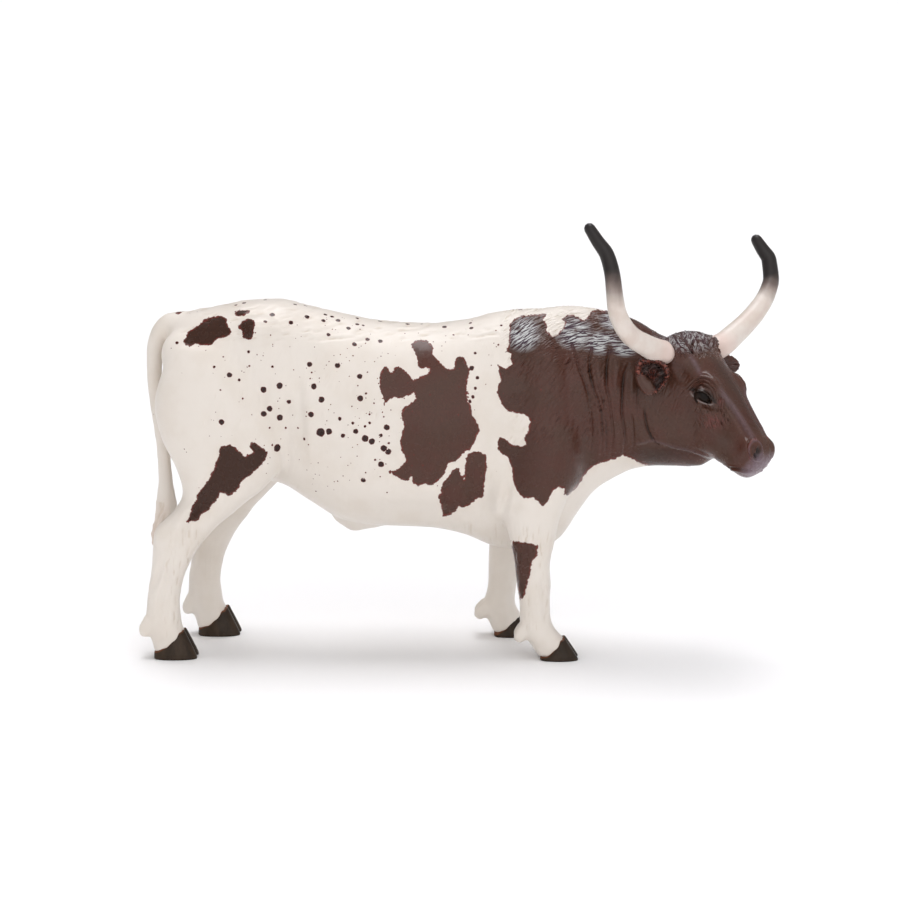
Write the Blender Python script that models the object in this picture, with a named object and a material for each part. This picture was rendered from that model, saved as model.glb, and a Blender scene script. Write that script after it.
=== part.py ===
"""A moulded toy figure of a longhorn bull, about 150 mm long, standing on its four hooves.

Every size below is in millimetres, and mesh points are turned into metres as each mesh is made.
+X is the way the body faces, +Y its left and +Z up, and the finished figure stands at z = 0.
The body's middle is at x = 0 while it is modelled. Everything moves by TO_ORIGIN at the end, so that
the origin is under the middle of the whole figure.
The flesh is lofted from stations that carry the names of the places they pass through. It is fused
into one surface, worked with strokes and swellings, and then parted into its named pieces by thin cuts.
"""

import math

import bmesh
import bpy
import numpy as np
from mathutils import Matrix, Vector

MM = 0.001
GAP = 0.3  # between pieces that touch
SOLE_HEIGHT = 1.1  # of the soles while the body is modelled
TO_ORIGIN = (-22.4, 1.5, -SOLE_HEIGHT)

# The head's place and pose: the poll is the middle of the line between the two horn roots.
POLL = np.array((75.8, -6.0, 73.2))
HEAD_YAW = math.radians(45)  # towards the bull's right
HEAD_PITCH = math.radians(46)  # nose down
HEAD_ROLL = math.radians(3)  # right side up

EYE_RADIUS = 2.6
EYE_PLACE = (12.7, 4.45, 0.0)  # along the face, out to the side, up from the poll line
LEG_OUT = 12.0  # of each foot from the middle plane
RIGHT, LEFT = 1, -1
FORWARD, ACROSS, UPWARD = np.identity(3)

# How fine the fused surface is, and how far it is smoothed where two forms meet.
VOXEL = 0.7
RING_POINTS = 56
SMOOTHING_ROUNDS = 8
STROKE_POINTS = 60  # along each carved stroke
FLESH_TRIANGLES = 7600
FINE_TRIANGLES = 18000  # of the flesh that the head is taken from
# How many rings each form is lofted through.
TORSO_RINGS, NECK_RINGS, HEAD_RINGS, LEG_RINGS = 70, 40, 50, 64
TUBE_RINGS, TUBE_POINTS = 18, 12
EAR_RINGS, EAR_POINTS = 12, 10
EYE_LEVELS, EYE_POINTS = 9, 14
HOOF_POINTS = 24

WHITE_PAINT = (0.86, 0.83, 0.77, 1)
BROWN_PAINT = (0.10, 0.045, 0.03, 1)
HOOF_PAINT = (0.03, 0.022, 0.018, 1)
HORN_PAINT = (0.82, 0.76, 0.68, 1)
EYE_PAINT = (0.01, 0.008, 0.008, 1)


# Places on the head

def head_axes():
    """Unit vectors along the face, to the head's right, and up from the face."""
    cos_yaw, sin_yaw = math.cos(HEAD_YAW), math.sin(HEAD_YAW)
    cos_pitch, sin_pitch = math.cos(HEAD_PITCH), math.sin(HEAD_PITCH)
    along = np.array((cos_pitch * cos_yaw, -cos_pitch * sin_yaw, -sin_pitch))
    right = np.array((-sin_yaw, -cos_yaw, 0.0))
    up = np.array((sin_pitch * cos_yaw, -sin_pitch * sin_yaw, cos_pitch))
    cos_roll, sin_roll = math.cos(HEAD_ROLL), math.sin(HEAD_ROLL)
    return along, right * cos_roll + up * sin_roll, up * cos_roll - right * sin_roll


ALONG, TO_RIGHT, UP = head_axes()


def on_head(along, out, up, side=RIGHT):
    return POLL + along * ALONG + side * out * TO_RIGHT + up * UP


def head_places(points):
    """Each point as (along the face, to the right, up from the face)."""
    return (points - POLL) @ np.array((ALONG, TO_RIGHT, UP)).T


# Lofts

def curve_through(rows, count):
    """The rows of numbers made into count rows, on a smooth curve that doesn't overshoot them."""
    rows = np.array(rows, float)
    steps = np.linalg.norm(np.diff(rows[:, :3], axis=0), axis=1)
    at = np.concatenate([[0], np.cumsum(steps)])
    slopes = np.diff(rows, axis=0) / steps[:, None]
    tangents = np.zeros_like(rows)
    tangents[0], tangents[-1] = slopes[0], slopes[-1]
    product = slopes[:-1] * slopes[1:]
    both = np.abs(slopes[:-1] + slopes[1:]) + 1e-9
    tangents[1:-1] = np.where(product > 0, 2 * product / both * np.sign(slopes[1:]), 0)
    wanted = np.linspace(0, at[-1], count)
    k = np.clip(np.searchsorted(at, wanted, side="right") - 1, 0, len(steps) - 1)
    h = steps[k][:, None]
    t = (wanted - at[k])[:, None] / h
    return (
        (1 + 2 * t) * (1 - t) ** 2 * rows[k]
        + t * (1 - t) ** 2 * h * tangents[k]
        + t * t * (3 - 2 * t) * rows[k + 1]
        + t * t * (t - 1) * h * tangents[k + 1]
    )


def ring(
    centre, side_axis, up_axis, half, above, below, upper=2.0, lower=2.0, top_share=1.0, around=RING_POINTS
):
    """A closed outline round a centre.

    upper and lower are how square each half is, where 2 is an ellipse.
    top_share narrows it towards its top.
    """
    angle = np.linspace(0, 2 * math.pi, around, endpoint=False)
    c, s = np.cos(angle), np.sin(angle)
    power = np.where(s >= 0, 2 / upper, 2 / lower)
    rise = np.sign(s) * np.abs(s) ** power
    narrowed = 1 - (1 - top_share) * np.clip(rise, 0, 1) ** 1.6
    sideways = half * narrowed * np.sign(c) * np.abs(c) ** power
    upwards = np.where(s >= 0, above, below) * rise
    return centre + sideways[:, None] * side_axis + upwards[:, None] * up_axis


def loft(rings):
    """(points, faces) of the closed surface through the rings, capped at both ends."""
    points = np.concatenate(rings)
    count, around = len(rings), len(rings[0])
    faces = [tuple(range(around))[::-1], tuple(range((count - 1) * around, count * around))]
    for row in range(count - 1):
        low, high = row * around, (row + 1) * around
        for n in range(around):
            m = (n + 1) % around
            faces.append((low + n, low + m, high + m, high + n))
    return points, faces


def tube(rows, count, around=RING_POINTS, grow=0.0):
    """A round tube along rows of (x, y, z, radius), with rounded ends."""
    line = curve_through(rows, count)
    centres, radii = line[:, :3], line[:, 3] + grow
    ways = np.gradient(centres, axis=0)
    ways /= np.linalg.norm(ways, axis=1)[:, None]
    side = np.cross(ways[0], (0.3, 1.0, 0.2))
    rings = []
    for centre, way, radius in zip(centres, ways, radii):
        side = side - way * (side @ way)
        side /= np.linalg.norm(side)
        rings.append(ring(centre, np.cross(side, way), side, radius, radius, radius, around=around))
    for end, way in ((0, -ways[0]), (-1, ways[-1])):
        centre, radius = centres[end], radii[end]
        cap = [
            centre + (rings[end] - centre) * math.cos(turn) + way * radius * math.sin(turn)
            for turn in (math.radians(35), math.radians(65), math.radians(83))
        ]
        rings = cap[::-1] + rings if end == 0 else rings + cap
    return loft(rings)


def ellipsoid(centre, radii, axes=np.identity(3), levels=17, around=RING_POINTS):
    """A lump with its radii along the three axes."""
    rings = []
    for turn in np.linspace(-84, 84, levels):
        level, wide = math.sin(math.radians(turn)), math.cos(math.radians(turn))
        middle = np.array(centre) + axes[2] * radii[2] * level
        half, high = radii[0] * wide, radii[1] * wide
        rings.append(ring(middle, axes[0], axes[1], half, high, high, around=around))
    return loft(rings)


# The flesh, form by form. Each station's line starts with what it passes through.

TORSO = (  # x, top, bottom, height of the widest place, half width, squareness above and below
    (-46.5, 77.0, 57.0, 67, 4.0, 2.0, 2.0),  # behind the pin bones
    (-45.0, 79.5, 51.0, 67, 7.5, 2.0, 2.0),
    (-41.0, 81.2, 44.5, 67, 11.3, 2.1, 2.0),
    (-35.0, 82.3, 42.0, 66, 13.6, 2.2, 2.0),  # rump
    (-28.0, 83.6, 41.5, 66, 14.8, 2.3, 2.0),
    (-21.0, 83.9, 40.5, 62, 15.6, 2.3, 2.0),  # hips
    (-14.0, 82.4, 36.5, 57, 16.8, 2.1, 2.1),
    (-6.0, 80.6, 32.0, 54, 18.0, 2.0, 2.1),  # loin
    (3.0, 78.9, 30.6, 53, 18.8, 2.0, 2.1),
    (14.0, 78.3, 30.2, 53, 18.6, 2.0, 2.1),  # last ribs
    (22.0, 79.1, 28.5, 54, 17.6, 2.0, 2.0),
    (30.0, 81.0, 25.2, 56, 16.2, 1.9, 1.9),  # girth
    (37.0, 81.8, 24.2, 58, 14.8, 1.9, 1.8),  # withers
    (44.0, 81.9, 26.4, 58, 13.4, 1.9, 1.7),
    (49.0, 81.8, 33.0, 59, 12.4, 1.9, 1.7),  # point of the brisket
    (54.0, 81.4, 40.0, 61, 11.5, 1.9, 1.8),
)
# x, y, turn in degrees, top, bottom, height of the widest place, half width, squareness above and below
NECK = (
    (44.0, 0.0, 0, 81.5, 30.0, 59, 13.2, 1.9, 1.7),
    (50.0, 0.0, 3, 82.0, 36.0, 60, 12.6, 1.9, 1.7),
    (56.0, -0.4, 8, 81.3, 40.5, 61, 11.9, 1.9, 1.7),
    (62.0, -1.2, 15, 79.4, 44.0, 62, 11.2, 1.9, 1.7),
    (67.0, -2.4, 24, 76.4, 45.0, 61, 10.6, 1.9, 1.7),
    (72.0, -4.2, 34, 74.4, 45.2, 60, 9.8, 2.0, 1.6),
    (77.0, -7.4, 40, 71.0, 45.6, 58, 7.8, 2.0, 1.5),
    (81.0, -10.4, 40, 64.0, 48.0, 56, 5.0, 2.0, 1.5),  # throat
)
# Along the face, top, bottom, height of the widest place, half width, squareness above and below, top share
HEAD = (
    (-5.0, 0.0, -9.0, -3.5, 5.5, 2.4, 2.0, 0.9),
    (-3.8, 1.0, -12.5, -3.5, 7.8, 2.6, 2.0, 0.9),  # crown
    (-1.0, 1.7, -16.0, -3.2, 8.7, 2.8, 2.0, 0.9),  # horn roots
    (3.0, 2.7, -18.6, -3.2, 8.2, 2.8, 2.0, 0.8),
    (7.0, 3.1, -20.0, -3.4, 7.6, 2.8, 2.0, 0.7),  # jaw corner
    (10.5, 3.3, -19.4, -3.6, 6.8, 2.8, 2.0, 0.65),  # brow
    (14.0, 3.2, -17.4, -3.4, 6.4, 3.0, 2.1, 0.68),
    (18.0, 2.9, -15.0, -3.2, 5.7, 3.0, 2.2, 0.7),
    (22.0, 2.6, -12.4, -3.0, 4.9, 3.0, 2.3, 0.72),  # bridge of the nose
    (26.0, 2.4, -10.3, -2.8, 4.5, 2.8, 2.4, 0.74),
    (29.0, 1.7, -8.9, -2.8, 4.7, 2.4, 2.4, 0.8),  # muzzle
    (31.0, 0.6, -7.9, -3.0, 4.3, 2.3, 2.3, 0.9),
    (32.2, -1.0, -6.8, -3.6, 3.2, 2.2, 2.2, 1.0),
    (32.7, -2.4, -5.6, -3.9, 1.8, 2.0, 2.0, 1.0),
)
# Height, middle of the leg in x and out from the middle plane, half length, half width, squareness
HIND_LEG = (
    (74.0, -35.0, 8.5, 9.5, 4.5, 2.0),
    (68.0, -34.5, 9.0, 13.0, 7.0, 2.1),  # thigh
    (60.0, -34.3, 9.6, 15.0, 7.8, 2.2),
    (53.0, -33.6, 10.4, 14.2, 7.6, 2.2),
    (46.0, -32.2, 11.3, 12.2, 6.6, 2.2),  # stifle
    (41.0, -33.4, 11.8, 9.4, 5.6, 2.2),
    (38.0, -35.7, 12.0, 7.8, 4.8, 2.2),
    (35.0, -38.6, 12.0, 7.2, 4.2, 2.2),
    (31.5, -42.4, 12.0, 7.0, 3.9, 2.3),  # hock
    (28.0, -44.2, 12.0, 5.7, 3.8, 2.4),
    (24.0, -45.6, 12.0, 4.6, 3.6, 2.4),
    (19.0, -46.9, 12.0, 3.9, 3.3, 2.3),  # cannon
    (14.0, -47.7, 12.0, 3.9, 3.2, 2.3),
    (10.0, -47.7, 12.0, 4.1, 3.8, 2.3),  # fetlock
    (7.0, -46.9, 12.0, 4.1, 4.0, 2.3),
    (4.5, -45.9, 12.0, 4.5, 4.0, 2.3),
    (1.5, -45.2, 12.0, 4.6, 4.0, 2.3),
)
FORELEG = (
    (62.0, 38.0, 8.6, 9.0, 6.2, 2.1),  # shoulder
    (54.0, 40.0, 9.2, 9.8, 6.6, 2.2),
    (46.0, 40.2, 10.2, 9.0, 6.3, 2.2),
    (39.0, 39.0, 11.2, 7.6, 5.6, 2.2),  # elbow
    (33.0, 38.2, 11.8, 6.2, 4.9, 2.2),
    (29.0, 38.4, 12.0, 5.3, 4.5, 2.2),
    (23.0, 38.4, 12.0, 4.1, 3.8, 2.3),
    (18.5, 38.8, 12.0, 4.0, 3.9, 2.5),  # knee
    (15.0, 38.9, 12.0, 3.6, 3.5, 2.3),
    (12.0, 39.0, 12.0, 3.5, 3.2, 2.2),  # cannon
    (9.0, 39.4, 12.0, 3.8, 3.7, 2.3),  # fetlock
    (6.5, 40.9, 12.0, 4.2, 4.0, 2.3),
    (4.0, 43.0, 12.0, 4.6, 4.0, 2.3),
    (1.5, 44.4, 12.0, 4.6, 4.0, 2.3),
)
# How far the left legs stand from the right ones' places, at heights up the leg.
LEFT_HIND_STEP = ((0, 8.0), (14, 7.3), (30, 7.0), (45, 3.5), (60, 0.0), (80, 0.0))
LEFT_FORE_STEP = ((0, -10.8), (6, -9.6), (12, -7.7), (18, -6.8), (30, -5.0), (46, 0.0), (80, 0.0))
NO_STEP = ((0, 0.0), (80, 0.0))

DEWCLAW = (1.5, 1.35, 2.0)  # half sizes
DEWCLAW_OUT = 1.9  # each from the leg's middle
HIND_DEWCLAW_PLACE = (-51.3, 9.2)
FORE_DEWCLAW_PLACE = (36.2, 7.6)

TAIL = (  # x, y, z, radius
    (-37.0, 0.0, 77.5, 1.6),
    (-42.0, 0.0, 78.9, 2.2),  # tail head
    (-46.0, 0.0, 78.4, 2.4),
    (-48.8, 0.0, 75.6, 2.3),
    (-50.1, 0.0, 71.0, 2.0),
    (-50.3, 0.0, 66.0, 1.8),
    (-49.9, 0.0, 60.0, 1.7),
    (-49.1, 0.0, 54.0, 1.65),
    (-48.4, 0.0, 48.0, 1.65),
    (-48.0, 0.0, 41.0, 1.8),
)
SWITCH = (
    (-48.0, 0.0, 40.5, 1.8),
    (-47.9, 0.0, 36.5, 2.4),
    (-48.0, 0.0, 32.0, 3.1),
    (-48.2, 0.0, 27.5, 3.3),
    (-48.0, 0.0, 23.0, 2.7),
    (-47.5, 0.0, 18.5, 1.7),
    (-47.0, 0.0, 15.5, 0.8),
)
HORNS = {  # out from the poll, forward, up, radius; the two aren't quite alike
    RIGHT: (
        (9.4, -0.5, -0.2, 2.9),
        (12.4, -0.5, 0.7, 2.75),
        (16.5, -0.5, 2.4, 2.5),
        (21.0, -0.5, 4.7, 2.3),
        (24.3, -0.4, 7.8, 2.15),
        (25.9, -0.7, 11.1, 2.05),
        (26.2, -1.2, 15.0, 1.9),
        (25.4, -2.6, 18.8, 1.8),
        (24.9, -4.8, 23.2, 1.7),
        (25.8, -6.8, 26.2, 1.5),
        (26.4, -8.8, 29.0, 1.3),
    ),
    LEFT: (
        (8.4, -0.5, -0.6, 2.9),
        (11.0, -0.5, 0.2, 2.8),
        (14.4, -0.6, 1.8, 2.65),
        (18.8, -0.8, 4.0, 2.45),
        (23.4, -1.1, 6.8, 2.3),
        (27.6, -1.6, 10.5, 2.05),
        (30.4, -2.8, 13.9, 1.9),
        (31.9, -4.8, 17.9, 1.8),
        (31.3, -6.3, 20.3, 1.6),
        (31.0, -8.0, 22.5, 1.35),
    ),
}

EAR_ROOT = {RIGHT: (0.0, 7.4, -4.6), LEFT: (1.6, 7.4, -3.4)}  # along the face, out, up
EAR_WAY = {RIGHT: (0.58, 0.79, -0.12), LEFT: (0.1, 0.98, 0.0)}  # the left one is held higher
EAR_FACING = {RIGHT: (0.06, -0.05, 1.0), LEFT: (0.06, 0.61, 0.70)}  # what its hollow looks towards
EAR_THICKNESS = 0.9
EAR_WIDEST = 5.6  # along the ear
EAR = (  # along the ear, half width, how deep its back bulges, how deep its hollow is (negative is solid)
    (0.0, 1.6, 1.5, -1.5),
    (1.4, 1.9, 1.7, -1.5),
    (2.2, 3.0, 2.2, -0.4),
    (3.6, 4.3, 2.6, 1.7),
    (5.6, 4.8, 2.5, 1.6),
    (7.6, 4.3, 2.0, 1.1),
    (9.4, 2.9, 1.4, 0.5),
    (10.8, 1.3, 0.8, -0.1),
)

# Hooves: each is as long as its leg's foot, and its top slants along the coronet.
# The coronet's front and back as (x, z), then the toe and heel.
HIND_HOOF = ((-42.8, 8.0), (-49.8, 3.0), (-39.5, -49.8))
FORE_HOOF = ((45.9, 6.4), (40.3, 1.9), (49.4, 40.3))
HOOF_HALF_WIDTH = (3.9, 4.5)  # at the coronet and at the floor
HOOF_SECTIONS = ((0, 0.92), (0.12, 1.0), (0.4, 1.02), (0.75, 1.01), (1, 0.98))  # how far down, and how full
CLEFT_WIDTH = 0.7
CLEFT_SHARE = 0.55  # of the hoof's length

# Where the flesh is parted.
HIND_PLACE = (-70.0, -17.0, 4.2, 50.0)  # back, front, inner side, top
FORE_PLACE = (24.0, 56.0, 7.0, 35.0)
NECK_PLANE_TURN = math.radians(12)  # back from upright
NECK_PLANE_POINT = (51.0, 0, 60.0)
HEAD_PLANE_TURN = math.radians(29.7)  # behind the jaws, from across the face's line
HEAD_PLANE_POINT = (0.5, 0, -11.0)  # on the head
JAW_PLANE = ((8.0, -22.0), (31.0, -9.2))  # under it, from behind its corner to the chin: along the face, up
TAIL_CUT_HEIGHT = 40.0


def body_ring(row):
    x, top, bottom, widest, half, upper, lower = row
    return ring(np.array((x, 0, widest)), ACROSS, UPWARD, half, top - widest, widest - bottom, upper, lower)


def neck_ring(row):
    x, y, turn, top, bottom, widest, half, upper, lower = row
    left = np.array((math.sin(math.radians(turn)), math.cos(math.radians(turn)), 0))
    return ring(np.array((x, y, widest)), left, UPWARD, half, top - widest, widest - bottom, upper, lower)


def head_ring(row):
    along, top, bottom, widest, half, upper, lower, top_share = row
    middle = on_head(along, 0, widest)
    return ring(middle, TO_RIGHT, UP, half, top - widest, widest - bottom, upper, lower, top_share)


def leg(rows, side, steps):
    """A leg from its stations, each moved in x by what the steps say at its height."""
    rings = []
    for z, x, out, length, width, square in curve_through(rows, LEG_RINGS):
        x += np.interp(z, [s[0] for s in steps], [s[1] for s in steps])
        middle = np.array((x, -side * out, z))
        rings.append(ring(middle, ACROSS, FORWARD, width, length, length, square, square))
    return loft(rings)


def dewclaws(place, side, steps):
    """The two small claws behind a fetlock."""
    x, z = place
    x += np.interp(z, [s[0] for s in steps], [s[1] for s in steps])
    return [
        ellipsoid((x, -side * (LEG_OUT + out), z), DEWCLAW)
        for out in (-DEWCLAW_OUT, DEWCLAW_OUT)
    ]


def muscles():
    """Lumps under the skin, on both sides of the body."""
    lumps = []
    for side in (RIGHT, LEFT):
        lumps += [
            ellipsoid((-24.5, -side * 9.5, 77.0), (6.0, 4.6, 4.2)),  # hip bone
            ellipsoid((-43.0, -side * 6.5, 71.5), (5.0, 4.4, 6.0)),  # pin bone
            ellipsoid((40.0, -side * 8.2, 60.0), (9.0, 6.8, 17.0)),  # shoulder blade
            ellipsoid((44.0, -side * 9.0, 47.0), (7.0, 5.6, 8.0)),  # point of the shoulder
            ellipsoid((32.5, -side * 10.0, 42.0), (6.5, 5.6, 9.0)),  # upper arm
        ]
    lumps += [
        ellipsoid((47.0, 0, 75.5), (15.0, 6.0, 7.0)),  # crest
        ellipsoid((-1.5, 0, 32.8), (7.5, 3.2, 3.6)),  # sheath
        ellipsoid((-3.4, 0, 31.0), (3.0, 2.0, 2.5)),
        ellipsoid((-34.0, 0, 38.5), (4.2, 3.6, 6.6)),  # scrotum
    ]
    return lumps


def head_lumps():
    """Brows, cheeks and muzzle, in the head's own directions."""
    axes = np.array((ALONG, TO_RIGHT, UP))
    lumps = []
    for side in (RIGHT, LEFT):
        lumps += [
            ellipsoid(on_head(11.9, 4.4, 0.6, side), (4.2, 2.2, 2.7), axes),  # brow
            ellipsoid(on_head(8.4, 4.2, -11.5, side), (6.4, 3.2, 6.6), axes),  # cheek
            ellipsoid(on_head(28.8, 2.9, -0.7, side), (3.0, 2.2, 2.6), axes),  # nostril
            ellipsoid(on_head(1.2, 6.2, -3.6, side), (3.2, 2.8, 3.0), axes),  # ear root
            ellipsoid(on_head(-0.6, 7.3, -0.6, side), (3.5, 3.0, 3.4), axes),  # horn root
        ]
    lumps.append(ellipsoid(on_head(-1.4, 0, -0.6), (4.2, 8.4, 3.2), axes))  # poll
    lumps.append(ellipsoid(on_head(29.4, 0, -6.2), (3.2, 3.2, 2.5), axes))  # chin
    return lumps


# Surfaces as arrays

def mesh_of(name, points, faces):
    mesh = bpy.data.meshes.new(name)
    mesh.from_pydata([tuple(p) for p in points * MM], [], faces)
    return mesh


def object_of(name, mesh):
    obj = bpy.data.objects.new(name, mesh)
    bpy.context.scene.collection.objects.link(obj)
    return obj


def joined(surfaces):
    """Several (points, faces) as one."""
    points, faces, count = [], [], 0
    for some_points, some_faces in surfaces:
        points.append(some_points)
        faces += [tuple(n + count for n in face) for face in some_faces]
        count += len(some_points)
    return np.concatenate(points), faces


def applied(obj):
    """The object with its modifiers worked into its mesh."""
    graph = bpy.context.evaluated_depsgraph_get()
    mesh = bpy.data.meshes.new_from_object(obj.evaluated_get(graph), depsgraph=graph)
    old = obj.data
    obj.modifiers.clear()
    obj.data = mesh
    bpy.data.meshes.remove(old)
    return obj


def points_of(mesh):
    points = np.empty(len(mesh.vertices) * 3, np.float32)
    mesh.vertices.foreach_get("co", points)
    return points.reshape(-1, 3).astype(float) / MM


def set_points(mesh, points):
    mesh.vertices.foreach_set("co", (points * MM).astype(np.float32).ravel())
    mesh.update()


def normals_of(mesh):
    normals = np.empty(len(mesh.vertices) * 3, np.float32)
    mesh.vertex_normals.foreach_get("vector", normals)
    return normals.reshape(-1, 3).astype(float)


def edges_of(mesh):
    edges = np.empty(len(mesh.edges) * 2, np.int32)
    mesh.edges.foreach_get("vertices", edges)
    return edges.reshape(-1, 2)


def relaxed(points, edges, rounds, share=0.5):
    """Each point drawn towards its neighbours' middle."""
    a, b = edges.T
    count = len(points)
    degree = np.bincount(a, minlength=count) + np.bincount(b, minlength=count)
    for _ in range(rounds):
        sums = [np.bincount(a, points[b, c], count) + np.bincount(b, points[a, c], count) for c in range(3)]
        points = points + share * (np.stack(sums, axis=1) / degree[:, None] - points)
    return points


# Strokes and swellings, each a distance that every point moves along its normal

def swelling(places, centre, radii, amount):
    """A smooth lump, or a hollow where amount is negative."""
    reach = sum(((places[:, n] - centre[n]) / radii[n]) ** 2 for n in range(3))
    return amount * np.clip(1 - reach, 0, 1) ** 2


def stroke(places, path, width, depth, lip=0.0):
    """A groove on the outer side, along a path of (forward, up), with a raised lip on either side of it."""
    line = curve_through([(*p, 0.0) for p in path], STROKE_POINTS)[:, :2]
    flat = places[:, (0, 2)]
    low, high = line.min(axis=0) - 4 * width, line.max(axis=0) + 4 * width
    near = ((flat > low) & (flat < high)).all(axis=1) & (places[:, 1] > 0)
    moved = np.zeros(len(places))
    if not near.any():
        return moved
    chosen = flat[near]
    best = np.full(len(chosen), 1e9)
    where = np.zeros(len(chosen))
    for n, (a, b) in enumerate(zip(line[:-1], line[1:])):
        way = b - a
        t = np.clip(((chosen - a) @ way) / (way @ way), 0, 1)
        away = np.linalg.norm(chosen - a - t[:, None] * way, axis=1)
        closer = away < best
        best[closer] = away[closer]
        where[closer] = (n + t[closer]) / (len(line) - 1)
    fade = np.clip(np.minimum(where, 1 - where) / 0.18, 0, 1) ** 0.7
    profile = lip * np.exp(-(((best - 2 * width) / width) ** 2)) - depth * np.exp(-((best / width) ** 2))
    moved[near] = profile * fade
    return moved


def side_places(points):
    """Each point as (forward, to the right, up)."""
    return points * (1, -1, 1)


NECK_FOLDS = (  # each down the neck, as (x, z)
    ((57.5, 71.0), (58.3, 64.0), (59.6, 56.0), (60.0, 48.0)),
    ((60.8, 73.0), (61.6, 65.0), (62.8, 57.0), (62.6, 48.5)),
    ((63.6, 71.5), (64.6, 64.0), (65.4, 56.0), (65.0, 49.0)),
    ((66.8, 67.0), (67.6, 60.0), (68.0, 53.0), (67.4, 49.0)),
)
BELLY_LINE = ((-13.0, 42.0), (2.0, 36.5), (18.0, 35.5), (27.0, 36.0))
JAW_LINE = ((5.0, -17.0), (9.0, -19.6), (15.0, -16.2), (21.0, -12.2), (25.5, -10.2))
MOUTH_LINE = ((23.0, -7.6), (26.5, -7.2), (30.0, -6.2), (33.0, -5.4))


def worked(points, normals):
    """The forms that a lump can't give: hollows, folds, the sockets, nostrils and mouth."""
    body = side_places(points)
    head = head_places(points)
    moved = np.zeros(len(points))
    behind_head = head[:, 0] < 4
    for side in (RIGHT, LEFT):
        out = body * (1, side, 1)
        moved += swelling(out, (-15.0, 15.0, 70.0), (8.0, 9.0, 9.0), -1.5)  # hollow before the hip
        moved += swelling(out, (-17.5, 16.0, 56.0), (4.5, 9.0, 15.0), -1.3)  # flank
        moved += swelling(out, (26.0, 15.0, 40.0), (4.0, 9.0, 14.0), -1.0)  # behind the elbow
        moved += swelling(out, (51.0, 11.0, 54.0), (4.0, 8.0, 16.0), -0.9)  # before the shoulder
        moved += stroke(out, BELLY_LINE, 2.2, 0.5, 0.1)
        for path in NECK_FOLDS:
            moved += np.where(behind_head, stroke(out, path, 0.8, 0.7, 0.35), 0)
        face = head * (1, side, 1)
        moved += stroke(face, JAW_LINE, 0.9, 0.5, 0.1)
        moved += stroke(face, MOUTH_LINE, 0.45, 0.55, 0.12)
        moved += swelling(face, (31.2, 3.6, -0.2), (1.7, 3.5, 1.35), -1.3)  # nostril
        moved += swelling(face, (19.5, 5.0, -1.5), (5.5, 4.0, 3.2), -0.6)  # below the eye
        moved += swelling(face, (6.0, 8.5, -1.5), (3.6, 4.0, 2.6), -0.8)  # temple
    return points + normals * moved[:, None]


def flesh():
    """The whole body without horns, ears, eyes, tail and hooves, as one closed surface."""
    surfaces = [
        loft([body_ring(row) for row in curve_through(TORSO, TORSO_RINGS)]),
        loft([neck_ring(row) for row in curve_through(NECK, NECK_RINGS)]),
        loft([head_ring(row) for row in curve_through(HEAD, HEAD_RINGS)]),
        leg(HIND_LEG, RIGHT, NO_STEP),
        leg(HIND_LEG, LEFT, LEFT_HIND_STEP),
        leg(FORELEG, RIGHT, NO_STEP),
        leg(FORELEG, LEFT, LEFT_FORE_STEP),
        *dewclaws(HIND_DEWCLAW_PLACE, RIGHT, NO_STEP),
        *dewclaws(HIND_DEWCLAW_PLACE, LEFT, LEFT_HIND_STEP),
        *dewclaws(FORE_DEWCLAW_PLACE, RIGHT, NO_STEP),
        *dewclaws(FORE_DEWCLAW_PLACE, LEFT, LEFT_FORE_STEP),
        *muscles(),
        *head_lumps(),
    ]
    body = object_of("flesh", mesh_of("flesh", *joined(surfaces)))
    remesh = body.modifiers.new("fuse", "REMESH")
    remesh.mode = "VOXEL"
    remesh.voxel_size = VOXEL * MM
    applied(body)
    mesh = body.data
    points = relaxed(points_of(mesh), edges_of(mesh), SMOOTHING_ROUNDS)
    set_points(mesh, points)
    points = worked(points, normals_of(mesh))
    points = relaxed(points, edges_of(mesh), 2)
    set_points(mesh, points)
    return body


# Pieces that are seated in the flesh. Each can be grown all round, to cut its own socket.

def horn(side, grow=0.0):
    forward = np.array((math.cos(HEAD_YAW), -math.sin(HEAD_YAW), 0))
    outward = side * np.array((-math.sin(HEAD_YAW), -math.cos(HEAD_YAW), 0))
    rows = []
    for out, ahead, up, radius in HORNS[side]:
        rows.append((*(POLL + out * outward + ahead * forward + up * UPWARD), radius))
    return tube(rows, TUBE_RINGS, TUBE_POINTS, grow)


def ear(side, grow=0.0):
    """A leaf cupped from a solid root, a crescent wherever it is cut across. Grown, its hollow is filled."""
    mirrored = np.array((ALONG, side * TO_RIGHT, UP))
    way = np.array(EAR_WAY[side]) @ mirrored
    way /= np.linalg.norm(way)
    facing = np.array(EAR_FACING[side]) @ mirrored
    facing -= way * (facing @ way)
    facing /= np.linalg.norm(facing)
    across = np.cross(way, facing)
    root = on_head(*EAR_ROOT[side], side)
    back = np.linspace(0, math.pi, EAR_POINTS)
    front = back[1:-1]
    rings = []
    stations = curve_through([(row[0], 0, 0, *row[1:]) for row in EAR], EAR_RINGS)
    for distance, half, bulge, hollow in stations[:, (0, 3, 4, 5)]:
        middle = root + way * (distance + grow * np.sign(distance - EAR_WIDEST))
        outside = [(math.cos(t) * (half + grow), -math.sin(t) * (bulge + grow)) for t in back]
        inside = [(-math.cos(t) * (half - 0.25 * EAR_THICKNESS), -math.sin(t) * hollow) for t in front]
        if grow:
            inside = [(x * (half + grow) / half, max(y, 0) + grow) for x, y in inside]
        rings.append(np.array([middle + x * across + y * facing for x, y in outside + inside]))
    return loft(rings)


def eye(side, grow=0.0):
    axes = np.array((ALONG, UP, side * TO_RIGHT))
    radius = EYE_RADIUS + grow
    return ellipsoid(on_head(*EYE_PLACE, side), (radius, radius, radius), axes, EYE_LEVELS, EYE_POINTS)


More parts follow.
